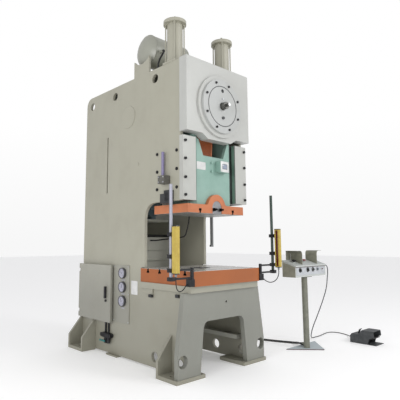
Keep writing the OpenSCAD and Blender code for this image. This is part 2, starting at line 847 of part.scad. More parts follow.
module conrod() {
    y = die_y - pin_l / 2 + 10;
    low = window_low + rod_low;
    eye_r = pin_r + crank_throw + 2;
    color([0.8, 0.5, 0.25]) difference() {
        plate_y(y, pin_l - 20) difference() {
            union() {
                translate([0, pin_z]) circle(r = eye_r + 36);
                polygon([[-rod_w / 2, low], [rod_w / 2, low], [rod_w / 2 + 38, pin_z - 120],
                    [-rod_w / 2 - 38, pin_z - 120]]);
            }
            translate([0, pin_z]) circle(r = eye_r);
        }
        bar_along_z(0, die_y, [low - 1, low + 265], screw_r + 0.3);
    }
}

module adjusting_screw() {
    color([0.6, 0.61, 0.62]) {
        bar_along_z(0, die_y, [ball_z + ball_r - 25, window_low + rod_low + 225], screw_r);
        translate([0, die_y, ball_z]) sphere(r = ball_r);
        bar_along_z(0, die_y, [cavity_z + 15, window_low], screw_r + 34);
    }
}

// Slide

module slide_outline(grow = 0) {
    w = slide_w / 2;
    polygon([[-w + slide_ch, slide_front], [w - slide_ch, slide_front], [w, slide_front + slide_ch],
        [w, slide_back - slide_ch], [w - slide_ch, slide_back], [-w + slide_ch, slide_back],
        [-w, slide_back - slide_ch], [-w, slide_front + slide_ch]]);
}

module clamp_profile(gap) {
    w = clamp_w / 2 + gap;
    translate([-w, slide_z - 1]) square([2 * w, clamp_low + 1]);
    translate([0, slide_z + clamp_low]) circle(r = w);
}

// Half-round boss with a fillet down to the flange on either side
module boss_outline() {
    rise = boss_fillet + boss_drop;
    reach = sqrt(pow(boss_r + boss_fillet, 2) - rise * rise);
    translate([0, body_z - boss_drop]) circle(r = boss_r);
    both_sides() polygon(concat([[0, body_z - 1], [reach, body_z - 1]],
        arc([reach, body_z + boss_fillet], boss_fillet, 270, 180 + atan(rise / reach), 5),
        [[0, body_z + boss_fillet]]));
}

module slide() {
    front = die_y - flange_d / 2;
    color([0.52, 0.68, 0.6]) difference() {
        union() {
            translate([0, 0, body_z]) linear_extrude(slide_front_h) slide_outline();
            translate([0, 0, front_top - 1]) linear_extrude(slide_rear_h + 1) intersection() {
                slide_outline();
                translate([-slide_w, -head_front + 12]) square([2 * slide_w, slide_d]);
            }
            both_sides() span([slide_w / 2 - 1, cyl_x + 32], [cyl_y - 39, cyl_y + 39], [ear_z, ear_z + ear_t]);
        }
        span([-cavity_half, cavity_half], [slide_front + cavity_wall, slide_back - cavity_wall],
            [cavity_z, rear_top + 1]);
        bar_along_z(0, die_y, [ball_z, cavity_z + 1], ball_r + 0.3);
        translate([0, die_y, ball_z]) sphere(r = ball_r + 0.3);
        plate_y(slide_front - 1, cavity_wall + 2) polygon([[-window_low_half, window_low],
            [window_low_half, window_low], [window_top_half, front_top], [window_top_half, rear_top + 1],
            [-window_top_half, rear_top + 1], [-window_top_half, front_top]]);
        for (s = [-1, 1]) bar_along_z(s * cyl_x, cyl_y, [ear_z - 1, ear_z + ear_t + 1], rod_r - 4);
    }
}

module slide_foot() {
    front = die_y - flange_d / 2;
    color([0.8, 0.5, 0.25]) difference() {
        union() {
            span([-flange_w / 2, flange_w / 2], [front, front + flange_d], [slide_z, body_z]);
            plate_y(front, slide_front - front) boss_outline();
        }
        span([-flange_w, flange_w], [front - 1, front + flange_d], [slide_z - boss_r, slide_z]);
        for (s = [-1, 1]) translate([s * slide_slot_span / 2, front - 1, slide_z]) {
            span([-slide_slot_w / 2, slide_slot_w / 2], [0, flange_d + 2], [-1, slot_neck_slide + 1]);
            span([-slide_slot_head / 2, slide_slot_head / 2], [0, flange_d + 2],
                [slot_neck_slide, slot_neck_slide + slot_head_slide]);
        }
        plate_y(front - 1, slide_front - front + 1) clamp_profile(1);
        span([-clamp_w / 2 - 1, clamp_w / 2 + 1], [slide_front - 3, holder_back + 1],
            [slide_z - 1, body_z + 1]);
    }
}

module shank_clamp() {
    front = die_y - flange_d / 2;
    color([0.55, 0.56, 0.57]) difference() {
        union() {
            plate_y(front + 2, slide_front - front - 3) clamp_profile(0);
            span([-clamp_w / 2, clamp_w / 2], [slide_front - 2, holder_back], [slide_z, body_z - 1]);
        }
        span([-clamp_w, clamp_w], [front, front + clamp_d + 1], [slide_z - 2, slide_z + 2]);
        bar_along_z(0, die_y, [slide_z - 1, slide_z + shank_h], shank_d / 2);
    }
    color([0.1, 0.1, 0.1]) both_sides() translate([clamp_w / 2 - 17, front + 3, slide_z + 36]) rotate([90, 0, 0]) {
        cylinder(r = 16, h = 17, $fn = 6);
        cylinder(r = 9, h = 40);
    }
}

module slide_scale() {
    color([0.9, 0.9, 0.88]) {
        span([29, 142], [slide_front - 60, slide_front], [body_z + 302, body_z + 405]);
        for (z = [307, 385]) bar_along_y(-28, body_z + z, [slide_front - 14, slide_front], 11);
    }
}

module piston_rods() {
    top = barrel_top - 1;
    color([0.75, 0.76, 0.78]) both_sides() {
        bar_along_z(cyl_x, cyl_y, [ear_z + ear_t, top - 1], rod_r);
        bar_along_z(cyl_x, cyl_y, [top - piston_t, top], barrel_bore - 0.1);
        bar_along_z(cyl_x, cyl_y, [ear_z - 25, ear_z + ear_t + 1], rod_r - 4);
        translate([cyl_x, cyl_y, ear_z - 20]) cylinder(r = rod_r + 6, h = 20, $fn = 6);
    }
}

// Counterbalance

module cylinder_pads() {
    color([0.65, 0.64, 0.58]) both_sides() difference() {
        span([cyl_x - pad_half, cyl_x + pad_half], [cyl_y - pad_half, cyl_y + pad_half], [frame_h, pad_top]);
        bar_along_z(cyl_x, cyl_y, [frame_h - 1, pad_top + 1], rod_r + 4);
    }
}

module cylinder_heads() {
    color([0.67, 0.66, 0.6]) both_sides() translate([cyl_x, cyl_y, 0]) {
        difference() {
            bar_along_z(0, 0, [pad_top, low_top], barrel_r + 4);
            bar_along_z(0, 0, [pad_top - 1, low_top + 1], rod_r + 0.08);
        }
        bar_along_z(0, 0, [barrel_top, cyl_top], cyl_cap_r);
        bar_along_z(0, 0, [cyl_top - 1, cyl_top + 16], 18);
        bar_along_z(0, 0, [cyl_top + 15, cyl_top + cyl_stub_h], 9);
        for (a = [-1, 1], b = [-1, 1]) translate([a * tie_off, b * tie_off, 0]) {
            bar_along_z(0, 0, [pad_top, barrel_top + 1], tie_r);
            translate([0, 0, pad_top]) cylinder(r = 11, h = 14, $fn = 6);
            translate([0, 0, barrel_top - 14]) cylinder(r = 11, h = 15, $fn = 6);
        }
    }
}

module cylinder_barrels() {
    color([0.67, 0.66, 0.6]) both_sides() difference() {
        bar_along_z(cyl_x, cyl_y, [low_top, barrel_top], barrel_r);
        bar_along_z(cyl_x, cyl_y, [low_top - 1, barrel_top + 1], barrel_bore);
    }
}

module air_tank() {
    dome_r = (tank_r * tank_r + tank_dome * tank_dome) / (2 * tank_dome);
    straight = tank_l / 2 - tank_dome;
    color([0.72, 0.72, 0.68]) {
        translate([tank_x, tank_y, tank_z]) rotate([0, 90, 0]) rotate_extrude() union() {
            translate([0, -straight]) square([tank_r, 2 * straight]);
            for (s = [-1, 1]) intersection() {
                translate([0, s * (tank_l / 2 - dome_r)]) circle(r = dome_r);
                translate([0, s > 0 ? straight - 1 : -tank_l / 2]) square([tank_r, tank_dome + 1]);
            }
        }
        bar_along_y(-285, tank_z - 45, [tank_y - tank_r - 30, tank_y - 100], 16);
    }
}

module tank_saddles() {
    color([0.65, 0.64, 0.58]) difference() {
        for (x = [-half, 60]) {
            span([x, x + 20], [tank_y - 118, tank_y + 118], [frame_h, tank_z - 105]);
            span([x, x + 60], [tank_y - 118, tank_y + 118], [frame_h, frame_h + 12]);
        }
        bar_along_x(tank_y, tank_z, [-half - 10, half], tank_r);
        bar_along_x(tank_y, tank_z, [-half - 1, -half + 21], tank_r + 0.01);
    }
}

module tank_hose() {
    color([0.08, 0.08, 0.09]) hose(smooth(tank_route, 2), 9, 8, [0.9, 0.3, 0.1], [0, -1, 0], [0, 0, -1]);
    color([0.1, 0.1, 0.1]) bar_along_z(-388, -403, [frame_h, frame_h + 20], 12);
}

// Left side

module cabinet_box() {
    wall = 4;
    y = [cab_y, cab_y + cab_l];
    z = [cab_z, cab_z + cab_h];
    color([0.7, 0.7, 0.66]) {
        difference() {
            span([neck_x, cab_back], y, z);
            span([neck_x - 1, cab_back - wall], [y[0] + wall, y[1] - wall], [z[0] + wall, z[1] - wall]);
        }
        for (low = hinge_lows()) {
            bar_along_z(hinge_x, hinge_y, [low, low + hinge_h], 8);
            span([hinge_x, -half], [hinge_y - 8, hinge_y + 8], [low, low + hinge_h]);
            bar_along_z(hinge_x, hinge_y, [low - 14, low + hinge_h + 14], 4);
        }
        span([cab_back - 30, cab_back - wall + 1], [y[0] + 80, y[1] - 80], [z[0] + 60, z[1] - 60]);
        span([-half - 6, -half], [y[0] - 272, y[0] - 16], [cab_z, cab_z + cab_h + 20]);
    }
}

function hinge_lows() = [cab_z + hinge_in, cab_z + cab_h - hinge_in - hinge_h];

module cabinet_door() {
    y = [cab_y - door_lap, cab_y + cab_l + door_lap + 20];
    z = [cab_z - door_lap, cab_z + cab_h + door_lap];
    sheet = 3;
    color([0.7, 0.7, 0.66]) {
        difference() {
            span([door_x, neck_x - 1], y, z);
            span([door_x + sheet, neck_x], [y[0] + 12, y[1] - 30], [z[0] + 12, z[1] - 12]);
            for (low = hinge_lows()) {
                span([door_x - 1, neck_x], [hinge_y - 14, y[1] + 1], [low - 0.5, low + hinge_h + 0.5]);
                bar_along_z(hinge_x, hinge_y, [low - 15, low + hinge_h + 15], 4.08);
            }
            bar_along_x(latch_y, latch_z, [door_x - 1, door_x + sheet + 1], 6.1);
        }
        bar_along_x(latch_y, latch_z - 80, [door_x - 12, door_x + 1], 11);
    }
}

module door_latch() {
    color([0.12, 0.12, 0.12]) {
        bar_along_x(latch_y, latch_z, [door_x - 8, door_x + 14], 6);
        span([door_x - 22, door_x - 4], [latch_y - 10, latch_y + 10], [latch_z - 57, latch_z + 57]);
    }
}

module gauges() {
    color([0.15, 0.15, 0.16]) for (k = [-1:1]) difference() {
        bar_along_x(gauge_y, cab_z + 333 + k * gauge_pitch, [-half - 32, -half - 6], gauge_r);
        bar_along_x(gauge_y, cab_z + 333 + k * gauge_pitch, [-half - 33, -half - 29], gauge_r - 5);
    }
}

module air_filter() {
    x = -half - 11;
    color([0.1, 0.1, 0.11]) {
        for (y = [315, 368]) bar_along_z(x, y, [199, cab_z], 9);
        span([-half - 42, -half], [274, 396], [160, 200]);
        for (y = [262, 408]) bar_along_x(y, 180, [-half - 40, -half], 18);
        bar_along_z(-half - 24, 296, [108, 161], 17);
        difference() {
            span([-half - 30, -half], [330, 366], [104, 161]);
            bar_along_x(348, 124, [-half - 31, -half - 12], 5.1);
        }
    }
}

module valve_handle() {
    color([0.15, 0.45, 0.45]) {
        bar_along_x(348, 124, [-half - 42, -half - 13], 5);
        span([-half - 42, -half - 34], [340, 433], [116, 131]);
    }
}

module side_fittings() {
    color([0.16, 0.16, 0.17]) {
        bar_along_z(-half - 28, -520, [head_under + 201, head_under + 437], 14);
        difference() {
            span([-half - 70, -half], [-586, -500], [head_under + 151, head_under + 221]);
            bar_along_z(-half - 28, -520, [head_under + 201, head_under + 223], 14);
        }
        span([-half - 42, -half], [-631, -548], [head_under - 22, head_under + 92]);
        span([-half - 34, -half], [-550, -488], [head_under - 18, head_under + 66]);
        span([-half - 26, -half], [-362, -322], [shelf_z - 74, shelf_z - 50]);
        span([-half - 14, -half], [-703, -660], [shelf_z - 49, shelf_z - 23]);
    }
    color([0.14, 0.14, 0.15]) for (y = [420, 470]) bar_along_x(y, 110, [half, half + 12], 14);
}

module throat_pipes() {
    color([0.08, 0.08, 0.09]) {
        bar_along_x(back_y + 12, head_under - 282, [-inner, inner], 15);
        span([half + 14, half + 36], [-304, -280], [head_under - 397, head_under - 71]);
        for (z = [397, 95]) span([half, half + 15], [-300, -284], [head_under - z, head_under - z + 20]);
        hose(smooth(hose_route, 2), 7, 8, [1, 0.3, 0.2], [0, 0, -1], [0, 1, 0]);
    }
}

// Light curtain

module curtain_stands() {
    end = bolster_w / 2;
    color([0.12, 0.12, 0.13]) both_sides() {
        span([end, block_x], [bolster_front - 10, bolster_front + 30], [bed_h + 4, bed_h + 62]);
        span([end + 12, end + 32], [post_y - 22, post_y - 2], [bolster_z - 59, bolster_z + 33]);
        for (z = [bolster_z - 47, bolster_z + 18]) {
            bar_along_x(post_y - 12, z, [end + 22, post_x - post_r + 2], arm_r);
        }
        bar_along_z(post_x, post_y, [post_z, post_z + post_h], post_r);
        for (z = [bolster_z - 47, bolster_z + 18, bar_z + bar_h * 0.36, bar_z + bar_h * 0.82]) difference() {
            span([post_x - 22, post_x + 22], [post_y - 24, post_y + 20], [z - 15, z + 15]);
            bar_along_z(post_x, post_y, [z - 16, z + 16], post_r);
        }
        for (z = [bar_z + bar_h * 0.36, bar_z + bar_h * 0.82])
            span([bar_x - 12, bar_x + 12], [bar_y + bar_d / 2, post_y - 23], [z - 18, z + 18]);
    }
}

module light_curtains() {
    color([0.87, 0.74, 0.3]) both_sides() difference() {
        span([bar_x - bar_w / 2, bar_x + bar_w / 2], [bar_y - bar_d / 2, bar_y + bar_d / 2], [bar_z, bar_z + bar_h]);
        span([bar_x - 60, bar_x - bar_w / 2 + 3], [bar_y - 12, bar_y + 12], [bar_z + 14, bar_z + bar_h - 14]);
    }
    color([0.5, 0.5, 0.5]) both_sides() {
        bar_along_z(bar_x, bar_y, [bar_z - 20, bar_z], 9);
    }
}

module curtain_cable_left() {
    color([0.05, 0.05, 0.05])
        hose(curtain_route(-1), 4, 8, [0.2, 1, 0.1], [0, 0, -1], [1, 0, 0]);
}

module curtain_cable_right() {
    color([0.05, 0.05, 0.05])
        hose(curtain_route(1), 4, 8, [0.2, 1, 0.1], [0, 0, -1], [-1, 0, 0]);
}

// Console

module on_top(x) {
    z = console_top + (button_y - console_y) * tan(slope);
    translate([x, button_y, z]) rotate([slope, 0, 0]) children();
}

module on_front(x) {
    translate([x, console_y, console_low + 70]) rotate([90, 0, 0]) children();
}

module pedestal_stand() {
    h = stand_base / 2;
    color([0.6, 0.62, 0.62]) translate([stand_x + 57, stand_y + 107, 0]) linear_extrude(8)
        polygon([[-h, 0], [-h, -10], [-7, -h - 3], [7, -h - 3], [h, -10], [h, 0]]);
    color([0.5, 0.5, 0.45]) {
        bar_along_z(stand_x, stand_y, [7, console_low], stand_r);
        span([stand_x - 60, stand_x + 60], [stand_y - 55, stand_y + 55], [console_low - 8, console_low]);
        bar_along_y(stand_x - 12, 46, [stand_y, stand_y + 44], 11);
        bar_along_y(stand_x + 14, 22, [stand_y, stand_y + 44], 11);
    }
}

module pedestal_box() {
    x = [console_x - console_w / 2, console_x + console_w / 2];
    color([0.72, 0.74, 0.72]) difference() {
        union() {
            plate_x(x[0], console_w) polygon([[console_y, console_low], [console_y, console_top],
                [console_back, console_top + console_rise], [console_back, console_low]]);
            plate_x(x[0] - 3, console_w + 6) polygon([[console_y - 6, console_top - 14],
                [console_y - 6, console_top - 1], [console_back + 3, console_top + console_rise + 2],
                [console_back + 3, console_top + console_rise - 14], [console_back, console_top + console_rise - 14],
                [console_back, console_top + console_rise - 2], [console_y, console_top - 2], [console_y, console_top - 14]]);
            for (s = [-1, 1]) on_top(console_x + s * (console_w / 2 - palm_in + 60)) cylinder(r = 22, h = 8);
            on_top(console_x) cylinder(r = 16, h = 12);
            for (dx = front_controls) on_front(console_x + dx) cylinder(r = 15, h = 4);
            on_front(console_x + 208) cylinder(r = 8, h = 9);
            bar_along_x(gland_y, gland_z, [x[1] - 1, x[1] + 12], 12);
        }
        for (s = [-1, 1]) on_top(console_x + s * (console_w / 2 - palm_in + 60))
            translate([0, 0, -24]) cylinder(r = 11.1, h = 40);
        on_top(console_x) translate([0, 0, -24]) cylinder(r = 9.1, h = 40);
        for (dx = front_controls) on_front(console_x + dx) translate([0, 0, -20]) cylinder(r = 8.1, h = 30);
    }
}

module palm_hood() {
    t = 3;
    r = 34;
    z = console_top + 2;
    h = hood_h + console_rise;
    y = console_back - hood_d - 8;
    difference() {
        translate([0, y + hood_d, z]) rotate([90, 0, 0]) linear_extrude(hood_d) difference() {
            polygon(concat([[hood_w, h], [hood_w, 0], [0, 0]], arc([r, h - r], r, 180, 90, 6)));
            polygon(concat([[hood_w + 1, h - t], [hood_w + 1, -1], [t, -1]], arc([r, h - r], r - t, 180, 90, 6)));
        }
        plate_x(-1, hood_w + 2) polygon([[console_y - 9, -1], [console_y - 9, console_top], [console_back + 9,
            console_top + console_rise * (console_d + 9) / console_d + 2.7], [console_back + 9, -1]]);
    }
}

module palm_shrouds() {
    x = console_w / 2 - palm_in + 12;
    color([0.6, 0.61, 0.58]) translate([console_x, 0, 0]) {
        translate([x, 0, 0]) palm_hood();
        mirror([1, 0, 0]) translate([x, 0, 0]) palm_hood();
    }
}

module mushroom(r, stem) {
    translate([0, 0, -14]) cylinder(r = stem, h = 36);
    translate([0, 0, 18]) rotate_extrude() intersection() {
        translate([0, -r * 0.9]) circle(r = r * 1.38);
        square([r, r]);
    }
}

module palm_button_left() {
    color([0.08, 0.08, 0.08]) on_top(console_x - console_w / 2 + palm_in - 60) mushroom(palm_r, 11);
}

module palm_button_right() {
    color([0.08, 0.08, 0.08]) on_top(console_x + console_w / 2 - palm_in + 60) mushroom(palm_r, 11);
}

module stop_button() {
    color([0.7, 0.15, 0.12]) on_top(console_x) translate([0, 0, 4]) mushroom(19, 9);
}

module front_switch(dx) {
    color([0.08, 0.08, 0.08]) on_front(console_x + dx) {
        translate([0, 0, -16]) cylinder(r = 8, h = 22);
        translate([0, 0, 5]) cylinder(r = 13, h = 5);
        span([-4, 4], [-13, 13], [9, 20]);
    }
}

module front_button(dx) {
    color([0.08, 0.08, 0.08]) on_front(console_x + dx) {
        translate([0, 0, -12]) cylinder(r = 8, h = 18);
        translate([0, 0, 8]) cylinder(r = 12, h = 7);
        translate([0, 0, 5]) cylinder(r = 8, h = 4);
    }
}

module mode_switch() { front_switch(front_controls[0]); }
module power_switch() { front_switch(front_controls[1]); }
module start_button() { front_button(front_controls[2]); }
module reset_button() { front_button(front_controls[3]); }

// Foot switch

module pedal_housing() {
    w = pedal_w / 2;
    back = pedal_y + pedal_l;
    color([0.14, 0.15, 0.15]) translate([pedal_x, 0, 0]) {
        span([-w, w], [pedal_y, back], [0, 6]);
        plate_x(-w, pedal_w) polygon([[back - 100, 5], [back - 100, 86], [back - 92, 94], [back - 18, 94],
            [back, 70], [back, 5]]);
        both_sides() plate_x(w - 5, 5) polygon([[back - 101, 5], [back - 101, 94], [pedal_y + 150, pedal_h],
            [pedal_y + 26, pedal_h], [pedal_y + 20, 84], [pedal_y + 70, 60], [pedal_y + 90, 5]]);
        span([-w, w], [pedal_y + 26, pedal_y + 150], [pedal_h - 5, pedal_h]);
        plate_x(-20, 40) polygon([[back - 60, 93], [back - 55, 93], [back - 68, 128], [back - 84, 142],
            [back - 88, 138], [back - 73, 125]]);
        bar_along_x(back - 112, 40, [-w + 4, w - 4], 4);
        bar_along_y(0, 42, [back - 1, back + 12], 9);
    }
}

module foot_pedal() {
    w = pedal_w / 2 - 8;
    back = pedal_y + pedal_l;
    color([0.2, 0.2, 0.2]) translate([pedal_x, 0, 0]) difference() {
        union() {
            plate_x(-w, 2 * w) polygon([[back - 106, 34], [back - 106, 46], [back - 118, 50],
                [pedal_y + 30, 72], [pedal_y + 28, 66], [back - 118, 34]]);
        }
        bar_along_x(back - 112, 40, [-w - 1, w + 1], 4.1);
    }
}

// Cables on the floor

module control_cable_a() {
    color([0.06, 0.06, 0.06]) hose(control_route_a, 8, 8, [0.1, 0.2, 1], [0, 1, 0], [-1, 0, 0]);
}

module control_cable_b() {
    color([0.06, 0.06, 0.06]) hose(control_route_b, 8, 8, [0.1, 0.2, 1], [0, 1, 0], [-1, 0, 0]);
}

module pedal_cable() {
    color([0.25, 0.26, 0.27]) hose(pedal_route, 5, 8, [0.6, 1, 0.1], [1, 0, 0], [0, -1, 0]);
}

side_plate_left();
side_plate_right();
head_front_plate();
crown_plate();
head_rear_plate();
inner_plates();
bed_table();
bed_front_plate();
feet();
bolster();
gibs();
gib_covers();
cap_screws();
bearing_flange();
bearing_bushes();
cylinder_pads();
cylinder_heads();
cylinder_barrels();
air_tank();
tank_saddles();
tank_hose();
motor();
drive_belts();
cabinet_box();
gauges();
air_filter();
curtain_stands();
light_curtains();
curtain_cable_left();
curtain_cable_right();
side_fittings();
throat_pipes();
pedestal_stand();
pedestal_box();
palm_shrouds();
pedal_housing();
control_cable_a();
control_cable_b();
pedal_cable();
crankshaft();
flywheel();
motor_pulley();
conrod();
adjusting_screw();
slide();
slide_foot();
shank_clamp();
piston_rods();
slide_scale();
cabinet_door();
door_latch();
palm_button_left();
palm_button_right();
stop_button();
mode_switch();
power_switch();
start_button();
reset_button();
foot_pedal();
valve_handle();
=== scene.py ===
import math
import bmesh
import bpy
from mathutils import Matrix, Vector


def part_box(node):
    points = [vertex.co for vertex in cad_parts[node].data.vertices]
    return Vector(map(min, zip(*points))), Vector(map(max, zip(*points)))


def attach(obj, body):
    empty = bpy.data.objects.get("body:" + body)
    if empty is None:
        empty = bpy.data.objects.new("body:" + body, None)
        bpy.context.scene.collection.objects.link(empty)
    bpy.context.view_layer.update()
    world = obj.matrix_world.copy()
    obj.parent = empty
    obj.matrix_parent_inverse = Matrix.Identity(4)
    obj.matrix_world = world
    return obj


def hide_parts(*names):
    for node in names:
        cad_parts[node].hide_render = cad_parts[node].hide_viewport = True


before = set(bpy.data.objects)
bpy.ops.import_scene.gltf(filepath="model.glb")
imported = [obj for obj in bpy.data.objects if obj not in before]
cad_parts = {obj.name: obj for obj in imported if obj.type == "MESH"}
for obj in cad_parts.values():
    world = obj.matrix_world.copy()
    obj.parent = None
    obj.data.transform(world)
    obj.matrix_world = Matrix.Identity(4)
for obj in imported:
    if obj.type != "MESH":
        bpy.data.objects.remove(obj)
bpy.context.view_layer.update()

# The viewpoint: a 39 mm lens a little above waist height, out to the left of the press and ahead of it,
# tipped up by seven degrees, with the picture cut a little off its middle.
viewpoint = bpy.data.objects.new("viewpoint", bpy.data.cameras.new("viewpoint"))
viewpoint.data.sensor_width = 36
viewpoint.data.lens = 39.08
viewpoint.data.shift_x, viewpoint.data.shift_y = 0.0625, -0.0349
viewpoint.data.clip_end = 60
viewpoint.location = (-2.8537, -3.3868, 1.0736)
heading, pitch, roll = (Matrix.Rotation(math.radians(angle), 3, axis)
                        for angle, axis in ((-41.856, "Z"), (97.406, "X"), (-0.1155, "Z")))
viewpoint.rotation_euler = (heading @ pitch @ roll).to_euler()
bpy.context.scene.collection.objects.link(viewpoint)
bpy.context.scene.camera = viewpoint

# The free cables: round rubber-sheathed control cables that lie on the floor between press, console and
# foot switch, and two thin curtain leads that hang from their connectors to the junction blocks.


class Value:
    """One socket of a node tree; sums, products and comparisons of it add their Math nodes."""

    def __init__(self, tree, socket):
        self.tree, self.socket = tree, socket

    def maths(self, operation, a, b):
        return self.tree.add("ShaderNodeMath", {"operation": operation}, {0: a, 1: b})

    def __add__(self, other):
        return self.maths("ADD", self, other)

    def __radd__(self, other):
        return self.maths("ADD", other, self)

    def __sub__(self, other):
        return self.maths("SUBTRACT", self, other)

    def __rsub__(self, other):
        return self.maths("SUBTRACT", other, self)

    def __mul__(self, other):
        return self.maths("MULTIPLY", self, other)

    def __rmul__(self, other):
        return self.maths("MULTIPLY", other, self)

    def __pow__(self, other):
        return self.maths("POWER", self, other)

    def __gt__(self, other):
        return self.maths("GREATER_THAN", self, other)

    def __lt__(self, other):
        return self.maths("LESS_THAN", self, other)

    def __abs__(self):
        return self.maths("ABSOLUTE", self, 0.0)

    def beside(self, output):
        """Another output of the same node."""
        return Value(self.tree, self.socket.node.outputs[output])


class Tree:
    """A node tree, to which every node is added by one method."""

    def __init__(self, tree):
        self.tree = tree

    def put(self, socket, value):
        if isinstance(value, Value):
            self.tree.links.new(value.socket, socket)
        else:
            socket.default_value = value

    def add(self, kind, settings=None, inputs=None, output=0):
        made = self.tree.nodes.new(kind)
        for name, value in (settings or {}).items():
            setattr(made, name, value)
        for name, value in (inputs or {}).items():
            self.put(made.inputs[name], value)
        return Value(self, made.outputs[output])


def shade(red, green, blue):
    """A colour as a picture holds it, 0 to 255, made the light that a shader takes."""
    return tuple(c / 255 / 12.92 if c < 10 else ((c / 255 + 0.055) / 1.055) ** 2.4
                 for c in (red, green, blue))


class Finish(Tree):
    """A finish on the Principled shader. What is the same all over goes straight on its sockets."""

    def __init__(self, name, steady=None):
        self.material = bpy.data.materials.new(name)
        self.material.use_nodes = True
        super().__init__(self.material.node_tree)
        self.shader = self.tree.nodes["Principled BSDF"]
        for socket, value in (steady or {}).items():
            self.shader.inputs[socket].default_value = value
        self.where = self.add("ShaderNodeTexCoord", output="Object")

    def feed(self, socket, value):
        self.put(self.shader.inputs[socket], value)

    def axis(self, letter):
        """How far along one axis of the frame a point lies, in metres."""
        return self.add("ShaderNodeSeparateXYZ", None, {0: self.where}, letter)

    def noise(self, scale, detail=3.0, rough=0.55, stretch=(1, 1, 1)):
        spot = self.add("ShaderNodeMapping", None, {"Vector": self.where, "Scale": stretch})
        return self.add("ShaderNodeTexNoise", None,
                        {"Vector": spot, "Scale": scale, "Detail": detail, "Roughness": rough})

    def ease(self, value, low, high, first=0.0, last=1.0):
        """A value that runs from first to last while another goes from low to high."""
        return self.add("ShaderNodeMapRange", {"interpolation_type": "SMOOTHSTEP"},
                        {0: value, 1: low, 2: high, 3: first, 4: last})

    def tint(self, factor, low, high):
        """The colour low where factor is 0, and high where it is 1."""
        ends = [c if isinstance(c, Value) else (*c, 1) for c in (low, high)]
        return self.add("ShaderNodeMix", {"data_type": "RGBA"}, {0: factor, 6: ends[0], 7: ends[1]}, 2)

    def edges(self, radius):
        """1 on the edges of a piece and 0 on its faces."""
        soft = self.add("ShaderNodeBevel", {"samples": 4}, {"Radius": radius})
        flat = self.add("ShaderNodeNewGeometry", output="Normal")
        dot = self.add("ShaderNodeVectorMath", {"operation": "DOT_PRODUCT"}, {0: soft, 1: flat}, "Value")
        return self.ease(dot, 0.995, 0.8)

    def relief(self, height, depth, strength=1.0, rounding=0.0):
        """Bumps of that depth, in metres, over edges that are rounded off."""
        inputs = {"Height": height, "Distance": depth, "Strength": strength}
        if rounding:
            inputs["Normal"] = self.add("ShaderNodeBevel", {"samples": 4}, {"Radius": rounding})
        self.feed("Normal", self.add("ShaderNodeBump", None, inputs))

    def on(self, *nodes):
        """This finish on nodes that come with the frame."""
        for node in nodes:
            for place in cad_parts[node].material_slots:
                place.material = self.material


def sheath(name, colour, dust):
    """Rubber cable sheath: dull, faintly uneven, dusty where it has lain on the floor."""
    made = Finish(name, {"Specular IOR Level": 0.4})
    mottle = made.noise(60, 4)
    low = made.ease(made.axis("Z") + mottle * 0.02, 0.035, 0.008)
    made.feed("Base Color", made.tint(low * 0.55 * made.ease(mottle, 0.3, 0.7), colour, dust))
    made.feed("Roughness", 0.42 + 0.25 * mottle)
    made.relief(made.noise(900, 2), 0.0002)
    return made


black_sheath = sheath("black_sheath", shade(26, 26, 27), shade(120, 117, 110))
grey_sheath = sheath("grey_sheath", shade(78, 80, 82), shade(140, 138, 132))

BAR_X, BAR_Y, BAR_Z = 652, -937, 838
BLOCK_X, POST_Y = 473, -875
CURTAIN_LOOP = [(0, 0, -20), (0, 0, -48), (0.05, 0.1, -88), (0.2, 0.32, -122), (0.48, 0.62, -134),
                (0.76, 0.86, -116), (0.9, 0.97, -96), (1, 1, -92)]
CABLES = {
    "control_cable_a": (0.008, "stiff", black_sheath, [
        [1212, -806, 46], [1218, -778, 41], [1238, -738, 30], [1268, -690, 19], [1286, -640, 10],
        [1268, -575, 8], [1240, -510, 8], [1210, -430, 8], [1180, -340, 8], [1110, -120, 8], [980, 120, 8],
        [790, 310, 8], [610, 392, 14], [505, 418, 60], [440, 420, 104], [412, 420, 110]]),
    "control_cable_b": (0.008, "stiff", black_sheath, [
        [1238, -806, 22], [1248, -780, 21], [1280, -738, 20], [1310, -695, 18], [1322, -640, 10],
        [1302, -570, 8], [1266, -490, 8], [1236, -410, 8], [1206, -320, 8], [1136, -95, 8], [1006, 150, 8],
        [816, 345, 8], [626, 432, 14], [508, 466, 60], [440, 470, 104], [412, 470, 110]]),
    "pedal_cable": (0.005, "medium", grey_sheath, [
        [1535, -905, 828], [1556, -905, 828], [1584, -904, 821], [1606, -902, 798], [1617, -898, 752],
        [1619, -890, 690], [1615, -872, 570], [1600, -845, 470], [1584, -812, 370], [1576, -765, 255],
        [1586, -712, 150], [1614, -668, 60], [1652, -645, 18], [1700, -638, 6], [1760, -637, 5],
        [1840, -636, 5], [1936, -622, 5], [2040, -606, 5], [2115, -613, 5], [2158, -660, 5],
        [2156, -740, 5], [2108, -830, 8], [2025, -905, 18], [1948, -962, 34], [1918, -986, 41],
        [1915, -998, 42]]),
}
for side, where in ((-1, "left"), (1, "right")):
    CABLES["curtain_cable_" + where] = (0.004, "medium", black_sheath, [
        [side * (BAR_X - x * (BAR_X - BLOCK_X)), BAR_Y + y * (POST_Y - BAR_Y), BAR_Z + z]
        for x, y, z in CURTAIN_LOOP])
